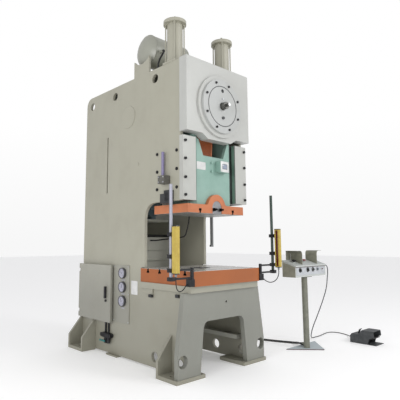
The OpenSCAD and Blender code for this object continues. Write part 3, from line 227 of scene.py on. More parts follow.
for name, (radius, stiffness, rubber, points) in CABLES.items():
    line = bpy.data.curves.new(name + "_run", "CURVE")
    line.dimensions = "3D"
    line.bevel_depth, line.bevel_resolution, line.use_fill_caps = radius, 4, True
    route = line.splines.new("BEZIER")
    route.resolution_u = 8
    route.bezier_points.add(len(points) - 1)
    for knot, point in zip(route.bezier_points, points):
        knot.co = Vector(point) / 1000
        knot.handle_left_type = knot.handle_right_type = "AUTO"
    line.materials.append(rubber.material)
    cable = bpy.data.objects.new(name + "_run", line)
    bpy.context.scene.collection.objects.link(cable)
    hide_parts(name)
    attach(cable, "frame")
    bpy.context.view_layer.update()
    2 * radius
    "hanging" if "curtain" in name else "loose"

# The welded frame: side plates, crown, bed and feet of thick steel plate, welded into one piece, filled,
# and sprayed with warm grey machine enamel, dusty at the floor and darkened by painted shade below a metre.


def enamel(name, colour, dirt, shine=0.38, painted_shade_strength=0.36):
    """Sprayed machine enamel: faint orange peel, clouding, low dust, rubbed edges, painted shade below a
    metre.
    """
    made = Finish(name, {"Coat Roughness": 0.25, "Specular IOR Level": 0.5})
    cloud = made.noise(2.6, 5, 0.6)
    streak = made.noise(7, 4, 0.6, (1, 1, 0.12))
    grime = made.ease(cloud * 0.75 + streak * 0.25, 0.42, 0.68)
    low = made.ease(made.axis("Z") + made.noise(9, 4) * 0.12, 0.20, 0.03)
    # Painted shade: from 0.98 m down to 0.4 m the colour darkens towards a third of itself, by up to the
    # given strength.
    painted_shade_low = made.ease(made.axis("Z"), 0.98, 0.4) * painted_shade_strength
    shade_colour = tuple(c * 0.35 for c in colour)
    paint = made.tint(grime * 0.14 + low * 0.35, made.tint(painted_shade_low, colour, shade_colour), dirt)
    rubbed = made.edges(0.004) * made.ease(made.noise(38, 5, 0.7), 0.55, 0.66)
    made.feed("Base Color", made.tint(rubbed * 0.6, paint, shade(120, 118, 112)))
    made.feed("Roughness", shine + 0.14 * grime + 0.2 * low + 0.06 * made.noise(120, 2))
    made.feed("Coat Weight", 0.3 - 0.25 * low)
    made.relief(made.noise(420, 2, 0.5) + made.noise(34, 2) * 1.5, 0.0005, 0.55, 0.003)
    return made


frame_paint = enamel("frame_enamel", shade(162, 160, 145), shade(124, 120, 105))
frame_paint.on("side_plate_left", "side_plate_right", "crown_plate", "head_rear_plate",
               "bed_table", "feet", "cylinder_pads", "tank_saddles", "cylinder_heads", "cylinder_barrels")
# The head's front plate has the frame's enamel painted lighter and cooler where the front is lit: painted
# light.
lit_front_paint = enamel("front_enamel", shade(178, 179, 175), shade(140, 138, 130), 0.34)
lit_front_paint.on("head_front_plate")
# The bed's front plate is painted darker for the shade under the bolster and its lip: painted shade.
enamel("bed_front_enamel", shade(142, 143, 134), shade(112, 111, 102), 0.4).on("bed_front_plate")
# The plates inside the throat are painted lighter, standing in for light there: painted light. Their
# painted shade low down is stronger.
enamel("inner_enamel", shade(198, 198, 187), shade(150, 146, 134), 0.4, 0.5).on("inner_plates")
enamel("cabinet_enamel", shade(158, 157, 146), shade(120, 116, 104), 0.4).on("cabinet_box", "cabinet_door")

# Weld beads where plate meets plate, left as they were laid and painted over with the frame: along the bed,
# round the feet and the cylinders' base plates, up the throat's back plate and round the tank.


class Recipe(Tree):
    """A geometry node tree with named sizes, run once on points or lines to make a plain mesh."""

    def __init__(self, name, **sizes):
        self.group = bpy.data.node_groups.new(name, "GeometryNodeTree")
        doors = self.group.interface
        doors.new_socket("Geometry", in_out="INPUT", socket_type="NodeSocketGeometry")
        kinds = {float: "NodeSocketFloat", int: "NodeSocketInt", tuple: "NodeSocketVector"}
        self.keys = {}
        for size, value in sizes.items():
            door = doors.new_socket(size, in_out="INPUT", socket_type=kinds[type(value)])
            door.default_value = value
            self.keys[size] = door.identifier
        coat = doors.new_socket("finish", in_out="INPUT", socket_type="NodeSocketMaterial")
        self.keys["finish"] = coat.identifier
        doors.new_socket("Geometry", in_out="OUTPUT", socket_type="NodeSocketGeometry")
        super().__init__(self.group)
        entry = self.group.nodes.new("NodeGroupInput")
        self.given = {socket.name: Value(self, socket) for socket in entry.outputs if socket.name}

    def end(self, geometry):
        real = self.add("GeometryNodeRealizeInstances", None, {0: geometry})
        coated = self.add("GeometryNodeSetMaterial", None,
                          {"Geometry": real, "Material": self.given["finish"]})
        leave = self.group.nodes.new("NodeGroupOutput")
        self.put(leave.inputs[0], coated)

    def make(self, name, body, finish, points, lines=(), **sizes):
        """The mesh that the tree makes of these points, as a piece that rides on a body."""
        start = bpy.data.meshes.new(name)
        start.from_pydata([Vector(p) for p in points], lines, [])
        made = bpy.data.objects.new(name, start)
        bpy.context.scene.collection.objects.link(made)
        step = made.modifiers.new("recipe", "NODES")
        step.node_group = self.group
        for size, value in {"finish": finish.material, **sizes}.items():
            step[self.keys[size]] = value
        bpy.context.view_layer.update()
        done = bpy.data.meshes.new_from_object(made.evaluated_get(bpy.context.evaluated_depsgraph_get()))
        made.modifiers.clear()
        made.data = done
        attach(made, body)
        return made


bead = Recipe("weld_bead", radius=0.004, pitch=0.005, seed=3)
seam = bead.add("GeometryNodeMeshToCurve", None, {0: bead.given["Geometry"]})
ripples = bead.add("GeometryNodeResampleCurve", {"mode": "LENGTH"},
                   {"Curve": seam, "Length": bead.given["pitch"]})
lumps = bead.add("FunctionNodeRandomValue", {"data_type": "FLOAT"},
                 {2: 0.72, 3: 1.2, "Seed": bead.given["seed"]}, 1)
ring = bead.add("GeometryNodeCurvePrimitiveCircle", None, {"Resolution": 6, "Radius": bead.given["radius"]})
bead.end(bead.add("GeometryNodeCurveToMesh", None,
                  {"Curve": ripples, "Profile Curve": ring, "Scale": lumps, "Fill Caps": True}))

HALF, FRAME_H = 0.400, 2.680
BED_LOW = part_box("bed_table")[0]
FOOT_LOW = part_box("feet")[0]
THROAT_X, THROAT_Y, THROAT_Z = 0.370, 0.299, (0.730, 1.125)
PAD_X, PAD_Y, PAD_REACH = 0.320, -0.561, 0.081


def seams(*runs):
    """Points and lines of several runs, each a row of corners; a run that ends where it began is closed."""
    points, lines = [], []
    for run in runs:
        closed = run[0] == run[-1]
        first = len(points)
        points += run[:-1] if closed else run
        count = len(points) - first
        lines += [(first + k, first + k + 1) for k in range(count - 1)]
        if closed:
            lines.append((first + count - 1, first))
    return {"points": points, "lines": lines}


def square_round(x, y, z, reach):
    return [(x - reach, y - reach, z), (x + reach, y - reach, z), (x + reach, y + reach, z),
            (x - reach, y + reach, z), (x - reach, y - reach, z)]


bead.make("bed_welds", "frame", frame_paint, **seams(
    [(s * HALF, BED_LOW[1] + 0.02, BED_LOW[2] + 0.048) for s in (-1, 1)],
    *[[(s * THROAT_X, THROAT_Y, z) for z in THROAT_Z] for s in (-1, 1)],
    *[[(s * (HALF + 0.001), y, 0.040) for y in ends]
      for s in (-1, 1) for ends in ((FOOT_LOW[1] + 0.01, FOOT_LOW[1] + 0.16), (0.70, 0.84))]))
bead.make("crown_welds", "frame", frame_paint, radius=0.0035, **seams(
    *[square_round(s * PAD_X, PAD_Y, FRAME_H, PAD_REACH) for s in (-1, 1)],
    *[[(x, y, FRAME_H + 0.001) for y in (-0.283, -0.047)] for x in (-0.379, 0.081)]))

# The air tank on the crown: a rolled shell with two pressed ends, their seams welded all round, painted
# with the frame. Its drain cock is drawn further down, with the other turned pieces.
tank_paint = enamel("tank_enamel", shade(151, 152, 141), shade(122, 118, 107), 0.34)
tank_paint.on("air_tank")
TANK = Vector((-0.122, -0.165, 2.950))
TANK_R, TANK_STRAIGHT = 0.155, 0.2125


def hoop(x, radius, steps=56):
    """A closed ring of corners round the tank."""
    turns = [math.tau * k / steps for k in range(steps)] + [0.0]
    return [(x, TANK.y + radius * math.cos(a), TANK.z + radius * math.sin(a)) for a in turns]


bead.make("tank_welds", "frame", tank_paint, radius=0.003, pitch=0.006, **seams(
    *[hoop(TANK.x + s * TANK_STRAIGHT, TANK_R) for s in (-1, 1)]))

# The slide: a green casting between its gibs, on an orange foot with T-slots that is milled bright
# underneath; the connecting rod behind its window is painted orange as well.
GREEN, DEEP_GREEN = shade(137, 168, 157), shade(106, 142, 129)
ORANGE, DARK_ORANGE = shade(188, 112, 70), shade(150, 82, 46)
FOOT_FACE, DIE_Y = 1.325, -0.542


def cast_paint(name, colour, dirt, roughness=0.42):
    """Thick brush paint on a casting: the sand texture of the casting shows through it."""
    made = Finish(name, {"Coat Roughness": 0.3})
    grain = made.noise(140, 5, 0.65)
    cloud = made.noise(5, 5, 0.6)
    made.paint = made.tint(made.ease(cloud, 0.4, 0.7) * 0.35, colour, dirt)
    rubbed = made.edges(0.004) * made.ease(made.noise(45, 5, 0.7), 0.5, 0.62)
    made.feed("Base Color", made.tint(rubbed * 0.6, made.paint, shade(120, 116, 110)))
    made.feed("Roughness", roughness + 0.18 * cloud)
    made.feed("Coat Weight", 0.25)
    made.relief(grain + cloud, 0.0007, 0.6, 0.003)
    return made


slide_paint = cast_paint("slide_enamel", GREEN, DEEP_GREEN)
slide_paint.on("slide")
foot_paint = cast_paint("foot_enamel", ORANGE, DARK_ORANGE)
milled_face = foot_paint.axis("Z") < FOOT_FACE + 0.001
marks = foot_paint.tint(foot_paint.noise(60, 3, 0.5, (0.05, 1, 1)),
                        shade(150, 150, 148), shade(196, 196, 194))
# Painted shade: inside its T-slots the foot is painted nearly black.
painted_shade_recess = (abs(foot_paint.axis("X")) < 0.3595) * (abs(foot_paint.axis("Y") - DIE_Y) < 0.2195)
painted_shade_recess = painted_shade_recess * (foot_paint.axis("Z") < FOOT_FACE + 0.0755)
outside = foot_paint.tint(painted_shade_recess, foot_paint.paint, shade(40, 36, 34))
foot_paint.feed("Base Color", foot_paint.tint(milled_face, outside, marks))
foot_paint.feed("Metallic", milled_face * 1.0)
foot_paint.on("slide_foot")
cast_paint("rod_enamel", ORANGE, DARK_ORANGE, 0.38).on("conrod")

# Machined pieces: the shank clamp, the rods and screw, the gibs, the bronze bushes and the crankshaft, each
# with the marks of the cutter that made it and a film of oil.
BOLT_FACE, STUB_TIP = -0.7605, -0.9305


def milled(name, low, high, roughness, along, oil=0.0):
    """Machined steel: fine tool marks along one direction, a little oil and a few scratches."""
    made = Finish(name, {"Specular IOR Level": 0.6})
    lines = made.noise(420, 2, 0.5, along)
    smear = made.ease(made.noise(8, 4, 0.6), 0.35, 0.72)
    made.feed("Base Color", made.tint(lines * 0.5 + smear * 0.5, low, high))
    made.feed("Metallic", 1.0)
    made.feed("Roughness", roughness + 0.22 * smear + 0.1 * lines - oil * smear)
    made.relief(lines, 0.0002, 0.5, 0.0015)
    return made


clamp_steel = milled("clamp_steel", shade(124, 124, 126), shade(178, 178, 180), 0.3, (0.04, 1, 1))
bolts = clamp_steel.axis("Y") < BOLT_FACE
clamp_face = clamp_steel.tint(clamp_steel.noise(60, 3), shade(124, 124, 126), shade(176, 176, 178))
clamp_steel.feed("Base Color", clamp_steel.tint(bolts, clamp_face, shade(30, 30, 32)))
clamp_steel.on("shank_clamp")
milled("turned_steel", shade(150, 151, 153), shade(214, 214, 216), 0.16, (1, 1, 0.03)).on(
    "piston_rods", "adjusting_screw")
milled("dark_ways", shade(60, 62, 62), shade(104, 106, 106), 0.3, (1, 1, 0.03), 0.1).on("gibs")
milled("bronze", shade(160, 112, 60), shade(206, 158, 96), 0.3, (1, 0.05, 1)).on("bearing_bushes")
crank_steel = milled("crank_steel", shade(120, 120, 122), shade(190, 190, 192), 0.28, (1, 0.05, 1))
tip = crank_steel.axis("Y") < STUB_TIP
stub = crank_steel.tint(crank_steel.noise(40, 3), shade(84, 84, 80), shade(136, 136, 132))
crank_steel.feed("Base Color", crank_steel.tint(tip, stub, shade(232, 232, 232)))
crank_steel.feed("Metallic", 1.0 - tip * 0.6)
crank_steel.on("crankshaft")

# The bolster: a thick steel plate with T-slots, milled on top and painted orange round its sides.
BOLSTER_TOP = 0.844
bolster_finish = Finish("bolster_steel", {"Specular IOR Level": 0.6})
top = bolster_finish.axis("Z") > BOLSTER_TOP - 0.0005
paint = bolster_finish.tint(bolster_finish.ease(bolster_finish.noise(4, 5), 0.4, 0.7) * 0.3,
                            shade(158, 86, 34), shade(132, 72, 32))
# Painted shade: round the drop hole, below the milled top, the bolster is painted nearly black.
painted_shade_recess = (abs(bolster_finish.axis("X")) < 0.4145) * (abs(bolster_finish.axis("Y") - DIE_Y) < 0.3445)
outside = bolster_finish.tint(painted_shade_recess, paint, shade(44, 42, 40))
lines = bolster_finish.noise(300, 2, 0.5, (0.03, 1, 1))
steel = bolster_finish.tint(lines, shade(190, 188, 184), shade(232, 228, 222))
bolster_finish.feed("Base Color", bolster_finish.tint(top, outside, steel))
bolster_finish.feed("Metallic", top * 0.6)
bolster_finish.feed("Roughness", 0.42 - top * 0.2 + lines * 0.08)
bolster_finish.relief(lines, 0.0002, 0.5, 0.0015)
bolster_finish.on("bolster")

# The gib covers: thick plates, in the front's enamel made lighter for the lit front (painted light), with
# painted shade on their inner faces by the slide: dark grey in front and the slide's shaded green further
# in.
cover_paint = enamel("cover_enamel", shade(176, 177, 172), shade(140, 138, 130), 0.34)
shaded_inner_faces = abs(cover_paint.axis("X")) < 0.2585
beside_slide = cover_paint.ease(cover_paint.axis("Y"), -0.756, -0.746)
clean = cover_paint.tint(cover_paint.ease(cover_paint.noise(3, 5), 0.42, 0.7) * 0.25,
                         shade(176, 177, 172), shade(140, 138, 130))
# Painted shade on the inner faces: dark grey at the front, shaded slide green further in.
painted_shade_colours = cover_paint.tint(beside_slide, shade(104, 104, 100), shade(96, 124, 110))
cover_paint.feed("Base Color", cover_paint.tint(shaded_inner_faces, clean, painted_shade_colours))
cover_paint.on("gib_covers")

# The bearing flange on the head: a turned cover with a scribed groove, a dark oil hole above the shaft and
# a plug below it. A spot is a disc, or a ring where it has an inner radius, at a height above the shaft.
CRANK_Z, FLANGE_FACE = 2.290, -0.8497
SPOTS = ((0.144, 0.0, 0.0172), (-0.108, 0.0, 0.0136), (0.0, 0.1798, 0.1882))
# The flange's enamel is the front's, painted lighter and cooler where the front is lit: painted light.
flange_paint = enamel("flange_enamel", shade(172, 174, 172), shade(138, 136, 128), 0.34)
flange_colour = flange_paint.tint(flange_paint.ease(flange_paint.noise(3, 5), 0.42, 0.7) * 0.2,
                                  shade(172, 174, 172), shade(138, 136, 128))
across = flange_paint.axis("X") * flange_paint.axis("X")
for height, low, high in SPOTS:
    away = flange_paint.axis("Z") - (CRANK_Z + height)
    reach = (across + away * away) ** 0.5
    spot = (reach < high) * (reach > low - 0.001)
    if low:
        spot = spot * (flange_paint.axis("Y") > FLANGE_FACE)
    flange_colour = flange_paint.tint(spot, flange_colour, shade(96, 98, 98) if low else shade(50, 52, 54))
flange_paint.feed("Base Color", flange_colour)
flange_paint.on("bearing_flange")


def fitting(name, colour, other, roughness, metallic=0.0, grain=300.0, depth=0.0003, coat=0.0):
    """Small bought-in fittings: blacked steel, moulded plastic or rubber, each with its own grain."""
    made = Finish(name, {"Coat Roughness": 0.08})
    cloud = made.noise(22, 4, 0.6)
    made.colour = made.tint(made.ease(cloud, 0.3, 0.75), colour, other)
    made.feed("Base Color", made.colour)
    made.feed("Metallic", metallic)
    made.feed("Roughness", roughness + 0.2 * cloud)
    made.feed("Coat Weight", coat)
    made.relief(made.noise(grain, 3, 0.6), depth, 0.6, 0.0012)
    return made


# Screws: socket-head cap screws of blacked steel in the frame and covers, and small bright ones on the
# panels, all pressed from the same few sizes.
blacked = fitting("blacked_steel", shade(38, 38, 40), shade(62, 62, 64), 0.36, 0.7)
blacked.on("cap_screws", "air_filter", "door_latch")
bright_zinc = fitting("bright_zinc", shade(168, 170, 172), shade(204, 206, 208), 0.26, 0.9)

screw = Recipe("socket_screw", radius=0.005, height=0.003, sides=20, recess=0.6, facing=(0.0, -1.0, 0.0))
size = screw.given
blank = screw.add("GeometryNodeMeshCylinder", None,
                  {"Vertices": size["sides"], "Radius": size["radius"], "Depth": size["height"] * 2.0})
rim = screw.add("GeometryNodeExtrudeMesh", None,
                {"Mesh": blank, "Selection": blank.beside("Top"), "Offset Scale": 0.0, "Individual": False})
inset = screw.add("GeometryNodeScaleElements", None,
                  {"Geometry": rim, "Selection": rim.beside("Top"), "Scale": 0.55})
depth = size["height"] * size["recess"] * -1.0
socket_cut = screw.add("GeometryNodeExtrudeMesh", None,
                       {"Mesh": inset, "Selection": rim.beside("Top"), "Offset Scale": depth,
                        "Individual": False})
turn = screw.add("FunctionNodeAlignRotationToVector", {"axis": "Z"}, {"Vector": size["facing"]})
screw.end(screw.add("GeometryNodeInstanceOnPoints", None,
                    {"Points": size["Geometry"], "Instance": socket_cut, "Rotation": turn}))

FRONT, LEFT = (0.0, -1.0, 0.0), (-1.0, 0.0, 0.0)
GAUGE_X = -0.406
screw.make("flange_grease_screw", "frame", bright_zinc, [(0, -0.850, CRANK_Z + 0.068)], radius=0.011,
           height=0.006, sides=6, recess=0.2, facing=FRONT)
screw.make("gauge_panel_screws", "frame", bright_zinc,
           [(GAUGE_X, y, z) for y in (0.0, 0.236) for z in (0.336, 0.590, 0.846)], facing=LEFT)
screw.make("block_screws", "frame", bright_zinc,
           [(-0.470, y, z) for y in (-0.573, -0.513) for z in (1.591, 1.635)],
           radius=0.007, height=0.004, facing=LEFT)

# Bent, turned and cut pieces are drawn as closed shapes: a block with its edges broken, or a profile turned
# about an axis.


def block(low, high, broken=0.0006):
    """A cut block with its edges broken."""
    def draw(shape):
        made = bmesh.ops.create_cube(shape, size=1.0)["verts"]
        low_v, high_v = Vector(low), Vector(high)
        for point in made:
            point.co = Vector(((point.co[k] + 0.5) * (high_v[k] - low_v[k]) + low_v[k]) for k in range(3))
        edges = list({edge for point in made for edge in point.link_edges})
        bmesh.ops.bevel(shape, geom=edges, offset=broken, segments=2, affect="EDGES", profile=0.5)
    return draw


def turned(centre, along, profile, steps=40):
    """A profile of radius and height, turned about an axis through the centre."""
    def draw(shape):
        axis = Vector(along).normalized()
        across = axis.orthogonal().normalized()
        beside = axis.cross(across)
        rings = []
        for radius, height in profile:
            middle = Vector(centre) + axis * height
            if radius == 0:
                rings.append([shape.verts.new(middle)])
            else:
                rings.append([shape.verts.new(middle + radius * (across * math.cos(math.tau * k / steps)
                                                                 + beside * math.sin(math.tau * k / steps)))
                              for k in range(steps)])
        for one, two in zip(rings, rings[1:]):
            for k in range(steps):
                corners = [one[k % len(one)], one[(k + 1) % len(one)],
                           two[(k + 1) % len(two)], two[k % len(two)]]
                corners = [c for n, c in enumerate(corners) if c not in corners[:n]]
                if len(corners) > 2:
                    shape.faces.new(corners)
    return draw


def piece(name, body, finish, *shapes, smooth=32):
    whole = bmesh.new()
    for draw in shapes:
        draw(whole)
    bmesh.ops.recalc_face_normals(whole, faces=whole.faces)
    mesh = bpy.data.meshes.new(name)
    whole.to_mesh(mesh)
    whole.free()
    mesh.materials.append(finish.material)
    mesh.shade_smooth()
    mesh.set_sharp_from_angle(angle=math.radians(smooth))
    made = bpy.data.objects.new(name, mesh)
    bpy.context.scene.collection.objects.link(made)
    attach(made, body)
    return made


piece("tank_drain_cock", "frame", bright_zinc,
      turned((TANK.x + 0.18, TANK.y, TANK.z - 0.163), (0, 0, -1),
             [(0, -0.012), (0.012, -0.012), (0.012, 0.006), (0.008, 0.008), (0.008, 0.020),
              (0.005, 0.022), (0, 0.022)]),
      block((TANK.x + 0.178, TANK.y - 0.022, TANK.z - 0.181),
            (TANK.x + 0.182, TANK.y + 0.004, TANK.z - 0.176)))
piece("crank_stub_key", "crankshaft", bright_zinc, block((-0.005, -0.895, 2.318), (0.005, -0.853, 2.3255)))

# On the slide's front: a bare riveted plate and a small green box with a white front and a window, held by
# four screws.
SLIDE_FACE, BOX_FACE = -0.7249, -0.7849
box_paint = cast_paint("indicator_box_enamel", GREEN, DEEP_GREEN)
box_paint.on("slide_scale")
plate_white = fitting("plate_white", shade(214, 214, 212), shade(198, 199, 198), 0.3)
window_grey = fitting("window_grey", shade(150, 158, 172), shade(132, 140, 156), 0.16, coat=0.6)
piece("slide_plate", "slide", plate_white,
      block((-0.215, SLIDE_FACE - 0.0013, 1.712), (-0.103, SLIDE_FACE, 1.781)))
screw.make("slide_plate_rivets", "slide", bright_zinc,
           [(x, SLIDE_FACE - 0.0013, z) for x in (-0.210, -0.108) for z in (1.717, 1.776)],
           radius=0.0025, height=0.0012, recess=0.1, facing=FRONT)
piece("indicator_front", "slide", plate_white,
      block((0.031, BOX_FACE - 0.0019, 1.706), (0.140, BOX_FACE, 1.803)))
piece("indicator_window", "slide", window_grey,
      block((0.056, BOX_FACE - 0.0029, 1.735), (0.114, BOX_FACE - 0.0017, 1.776)))
piece("indicator_frame", "slide", blacked, *[
    block((x0, BOX_FACE - 0.0033, z0), (x1, BOX_FACE - 0.0017, z1))
    for x0, x1, z0, z1 in ((0.053, 0.117, 1.732, 1.735), (0.053, 0.117, 1.776, 1.779),
                           (0.053, 0.056, 1.733, 1.778), (0.114, 0.117, 1.733, 1.778))])
screw.make("indicator_screws", "slide", bright_zinc,
           [(x, BOX_FACE - 0.0019, z) for x in (0.038, 0.133) for z in (1.713, 1.796)],
           radius=0.003, height=0.0015, facing=FRONT)

# The connecting rod's lower block is fluted where the locking ring grips it.
bars = Recipe("bars", size=(0.01, 0.01, 0.01), facing=(0.0, 0.0, 1.0))
lath = bars.add("GeometryNodeMeshCube", None, {"Size": bars.given["size"]})
turn = bars.add("FunctionNodeAlignRotationToVector", {"axis": "Z"}, {"Vector": bars.given["facing"]})
bars.end(bars.add("GeometryNodeInstanceOnPoints", None,
                  {"Points": bars.given["Geometry"], "Instance": lath, "Rotation": turn}))
rod_flutes = cast_paint("rod_flute_enamel", shade(176, 98, 56), DARK_ORANGE)
ROD_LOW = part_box("conrod")[0]
bars.make("rod_flutes", "connecting_rod", rod_flutes,
          [(-0.066 + 0.012 * k, ROD_LOW[1], ROD_LOW[2] + 0.068) for k in range(12)],
          size=(0.005, 0.008, 0.120))

# Stop rod, block and limit switch on the left side plate: a violet anodised rod, a cast block and two dark
# moulded boxes, told apart by their heights.
BLOCK_FOOT, BLOCK_HEAD = 1.5775, 1.6485
side_finish = fitting("side_fitting_finish", shade(44, 45, 46), shade(64, 65, 66), 0.42, 0.3)
up = side_finish.axis("Z")
block_grey = side_finish.tint(side_finish.noise(40, 4), shade(84, 83, 78), shade(112, 110, 104))
rod_violet = side_finish.tint(side_finish.noise(30, 3), shade(112, 106, 140), shade(140, 134, 164))
side_finish.feed("Base Color", side_finish.tint(up > BLOCK_HEAD, side_finish.tint(
    up > BLOCK_FOOT, side_finish.colour, block_grey), rod_violet))
side_finish.on("side_fittings")
bars.make("limit_switch_ribs", "frame", blacked,
          [(-0.4425, -0.590 + 0.012 * k, 1.462) for k in range(-2, 3)], size=(0.002, 0.005, 0.07))
piece("switch_cover", "frame", side_finish, block((-0.4438, -0.626, 1.412), (-0.442, -0.553, 1.424)))

# Three gauges on the cabinet's panel: black pressed bezels, pale dials with ticks, numbers and a needle,
# and a bare tag under each. Beside the panel is a bare riveted plate.
GAUGE_Y, GAUGE_ZS = 0.088, (0.525, 0.655, 0.785)
bezel_black = fitting("bezel_black", shade(58, 58, 62), shade(78, 78, 82), 0.24, 0.2, coat=0.4)
dial_white = fitting("dial_white", shade(160, 160, 174), shade(146, 146, 162), 0.3, coat=1.0)
mark_black = fitting("mark_black", shade(30, 30, 32), shade(42, 42, 44), 0.4)
tag_metal = fitting("tag_metal", shade(176, 176, 180), shade(160, 160, 164), 0.32, 0.3)
BEZEL = [(0, 0), (0.051, 0), (0.051, 0.018), (0.0502, 0.0235), (0.0475, 0.0258), (0.0445, 0.0248),
         (0.0435, 0.0215), (0, 0.0215)]
DIAL = [(0, 0.0212), (0.0433, 0.0212), (0.0433, 0.0219), (0, 0.0219)]
HUB = [(0, 0), (0.0035, 0), (0.0035, 0.0015), (0.002, 0.002), (0, 0.002)]
bezels = piece("gauge_bezels", "frame", bezel_black, *[
    turned((GAUGE_X, GAUGE_Y, z), LEFT, BEZEL, 56) for z in GAUGE_ZS])
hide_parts("gauges")
piece("gauge_dials", "frame", dial_white, *[
    turned((GAUGE_X, GAUGE_Y, z), LEFT, DIAL, 48) for z in GAUGE_ZS])
spokes = Recipe("spokes", size=(0.001, 0.001, 0.004), centre=(0.0, 0.0, 0.0))
spoke = spokes.add("GeometryNodeMeshCube", None, {"Size": spokes.given["size"]})
outward = spokes.add("ShaderNodeVectorMath", {"operation": "SUBTRACT"},
                     {0: spokes.add("GeometryNodeInputPosition"), 1: spokes.given["centre"]})
turn = spokes.add("FunctionNodeAlignRotationToVector", {"axis": "Z"}, {"Vector": outward})
spokes.end(spokes.add("GeometryNodeInstanceOnPoints", None,
                      {"Points": spokes.given["Geometry"], "Instance": spoke, "Rotation": turn}))


def on_dial(z, turn_by, radius, height):
    """A point on the dial at z, at an angle from straight down, clockwise as read."""
    return (GAUGE_X - height, GAUGE_Y + radius * math.sin(turn_by), z - radius * math.cos(turn_by))


def lettering(name, body, finish, words, size, across, up_way):
    """Words as thin raised shapes, each with the place of its middle, on a face along two directions."""
    across, up_way = Vector(across), Vector(up_way)
    out = across.cross(up_way)
    whole = bmesh.new()
    for text, place in words:
        line = bpy.data.curves.new(name, "FONT")
        line.body, line.size, line.align_x, line.align_y = text, size, "CENTER", "CENTER"
        line.extrude = 0.0001
        writer = bpy.data.objects.new(name + "_writer", line)
        bpy.context.scene.collection.objects.link(writer)
        bpy.context.view_layer.update()
        mesh = bpy.data.meshes.new_from_object(writer.evaluated_get(bpy.context.evaluated_depsgraph_get()))
        bpy.data.objects.remove(writer)
        mesh.transform(Matrix((across, up_way, out)).transposed().to_4x4())
        mesh.transform(Matrix.Translation(place))
        whole.from_mesh(mesh)
        bpy.data.meshes.remove(mesh)
    bmesh.ops.remove_doubles(whole, verts=whole.verts, dist=0.000001)
    mesh = bpy.data.meshes.new(name)
    whole.to_mesh(mesh)
    whole.free()
    mesh.materials.clear()
    mesh.materials.append(finish.material)
    made = bpy.data.objects.new(name, mesh)
    bpy.context.scene.collection.objects.link(made)
    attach(made, body)


TICKS = 25
for number, z in enumerate(GAUGE_ZS):
    sweep = [math.radians(45 + 270 * k / (TICKS - 1)) for k in range(TICKS)]
    spokes.make(f"dial_ticks_{number}", "frame", mark_black, [on_dial(z, a, 0.0385, 0.0221) for a in sweep],
                size=(0.0010, 0.0005, 0.006), centre=(GAUGE_X - 0.0221, GAUGE_Y, z))
    needle = math.radians((150, 205, 120)[number])
    spokes.make(f"dial_needle_{number}", "frame", mark_black, [on_dial(z, needle, 0.013, 0.0228)],
                size=(0.0020, 0.0006, 0.038), centre=(GAUGE_X - 0.0228, GAUGE_Y, z))
    lettering(f"dial_numbers_{number}", "frame", mark_black,
              [(str(2 * k), on_dial(z, math.radians(45 + 54 * k), 0.0285, 0.0222)) for k in range(6)],
              0.0095, (0, -1, 0), (0, 0, 1))
piece("dial_hubs", "frame", blacked, *[
    turned((GAUGE_X - 0.0219, GAUGE_Y, z), LEFT, HUB, 20) for z in GAUGE_ZS])
piece("gauge_tags", "frame", tag_metal, *[
    block((GAUGE_X - 0.0012, 0.062, z - 0.0725), (GAUGE_X, 0.114, z - 0.0575)) for z in GAUGE_ZS])
piece("side_plate_tag", "frame", plate_white, block((-0.4015, -0.132, 0.598), (-0.400, -0.034, 0.722)))
screw.make("side_plate_tag_rivets", "frame", bright_zinc,
           [(-0.4015, y, z) for y in (-0.127, -0.039) for z in (0.603, 0.717)],
           radius=0.0025, height=0.0012, recess=0.1, facing=LEFT)

# The light curtain: two bars of yellow extrusion with black end caps and a dark red lens each, on steel
# posts that stand on arms from the bolster's ends. The left post carries a streaked painted highlight; the
# right one is dark.
POST_X, POST_R = 0.647, 0.0134
curtain_yellow = fitting("curtain_enamel", shade(186, 164, 74), shade(170, 146, 62), 0.34)
plug_grey = curtain_yellow.axis("Z") < BAR_Z / 1000 - 0.0005
curtain_yellow.feed("Base Color", curtain_yellow.tint(
    plug_grey, curtain_yellow.colour, shade(120, 122, 124)))
curtain_yellow.on("light_curtains")
stand_finish = fitting("stand_finish", shade(40, 40, 42), shade(58, 58, 60), 0.38, 0.6)
from_post = abs(stand_finish.axis("X")) - POST_X
off_post = stand_finish.axis("Y") - POST_Y / 1000
on_post = (from_post * from_post + off_post * off_post) < POST_R ** 2
left_post = stand_finish.axis("X") < 0
# Painted highlight: a bright streaked sheen on the left post only.
painted_sheen = left_post * (0.6 + 0.4 * stand_finish.noise(30, 3, 0.5, (1, 1, 0.05)))
stand_finish.feed("Base Color", stand_finish.tint(
    on_post, stand_finish.colour, stand_finish.tint(painted_sheen, shade(64, 76, 70), shade(172, 172, 184))))
stand_finish.on("curtain_stands")
lens_red = fitting("lens_red", shade(84, 18, 16), shade(66, 12, 12), 0.12, coat=0.8)
cap_black = fitting("cap_black", shade(30, 30, 31), shade(44, 44, 45), 0.42)
for side, where in ((-1, "left"), (1, "right")):
    edges = sorted((side * 0.6352, side * 0.6372))
    piece("curtain_lens_" + where, "frame", lens_red,
          block((edges[0], -0.9488, 0.8525), (edges[1], -0.9252, 1.1855), 0.0004))
    caps = sorted((side * 0.6332, side * 0.6708))
    piece("curtain_caps_" + where, "frame", cap_black,
          *[block((caps[0], -0.9618, z), (caps[1], -0.9122, z + 0.008), 0.002) for z in (0.8375, 1.1925)])
    screw.make("curtain_cap_screws_" + where, "frame", bright_zinc,
               [(side * BAR_X / 1000 + dx, -0.9618, z) for dx in (-0.013, 0.013) for z in (0.8415, 1.1965)],
               radius=0.0022, height=0.001, facing=FRONT)

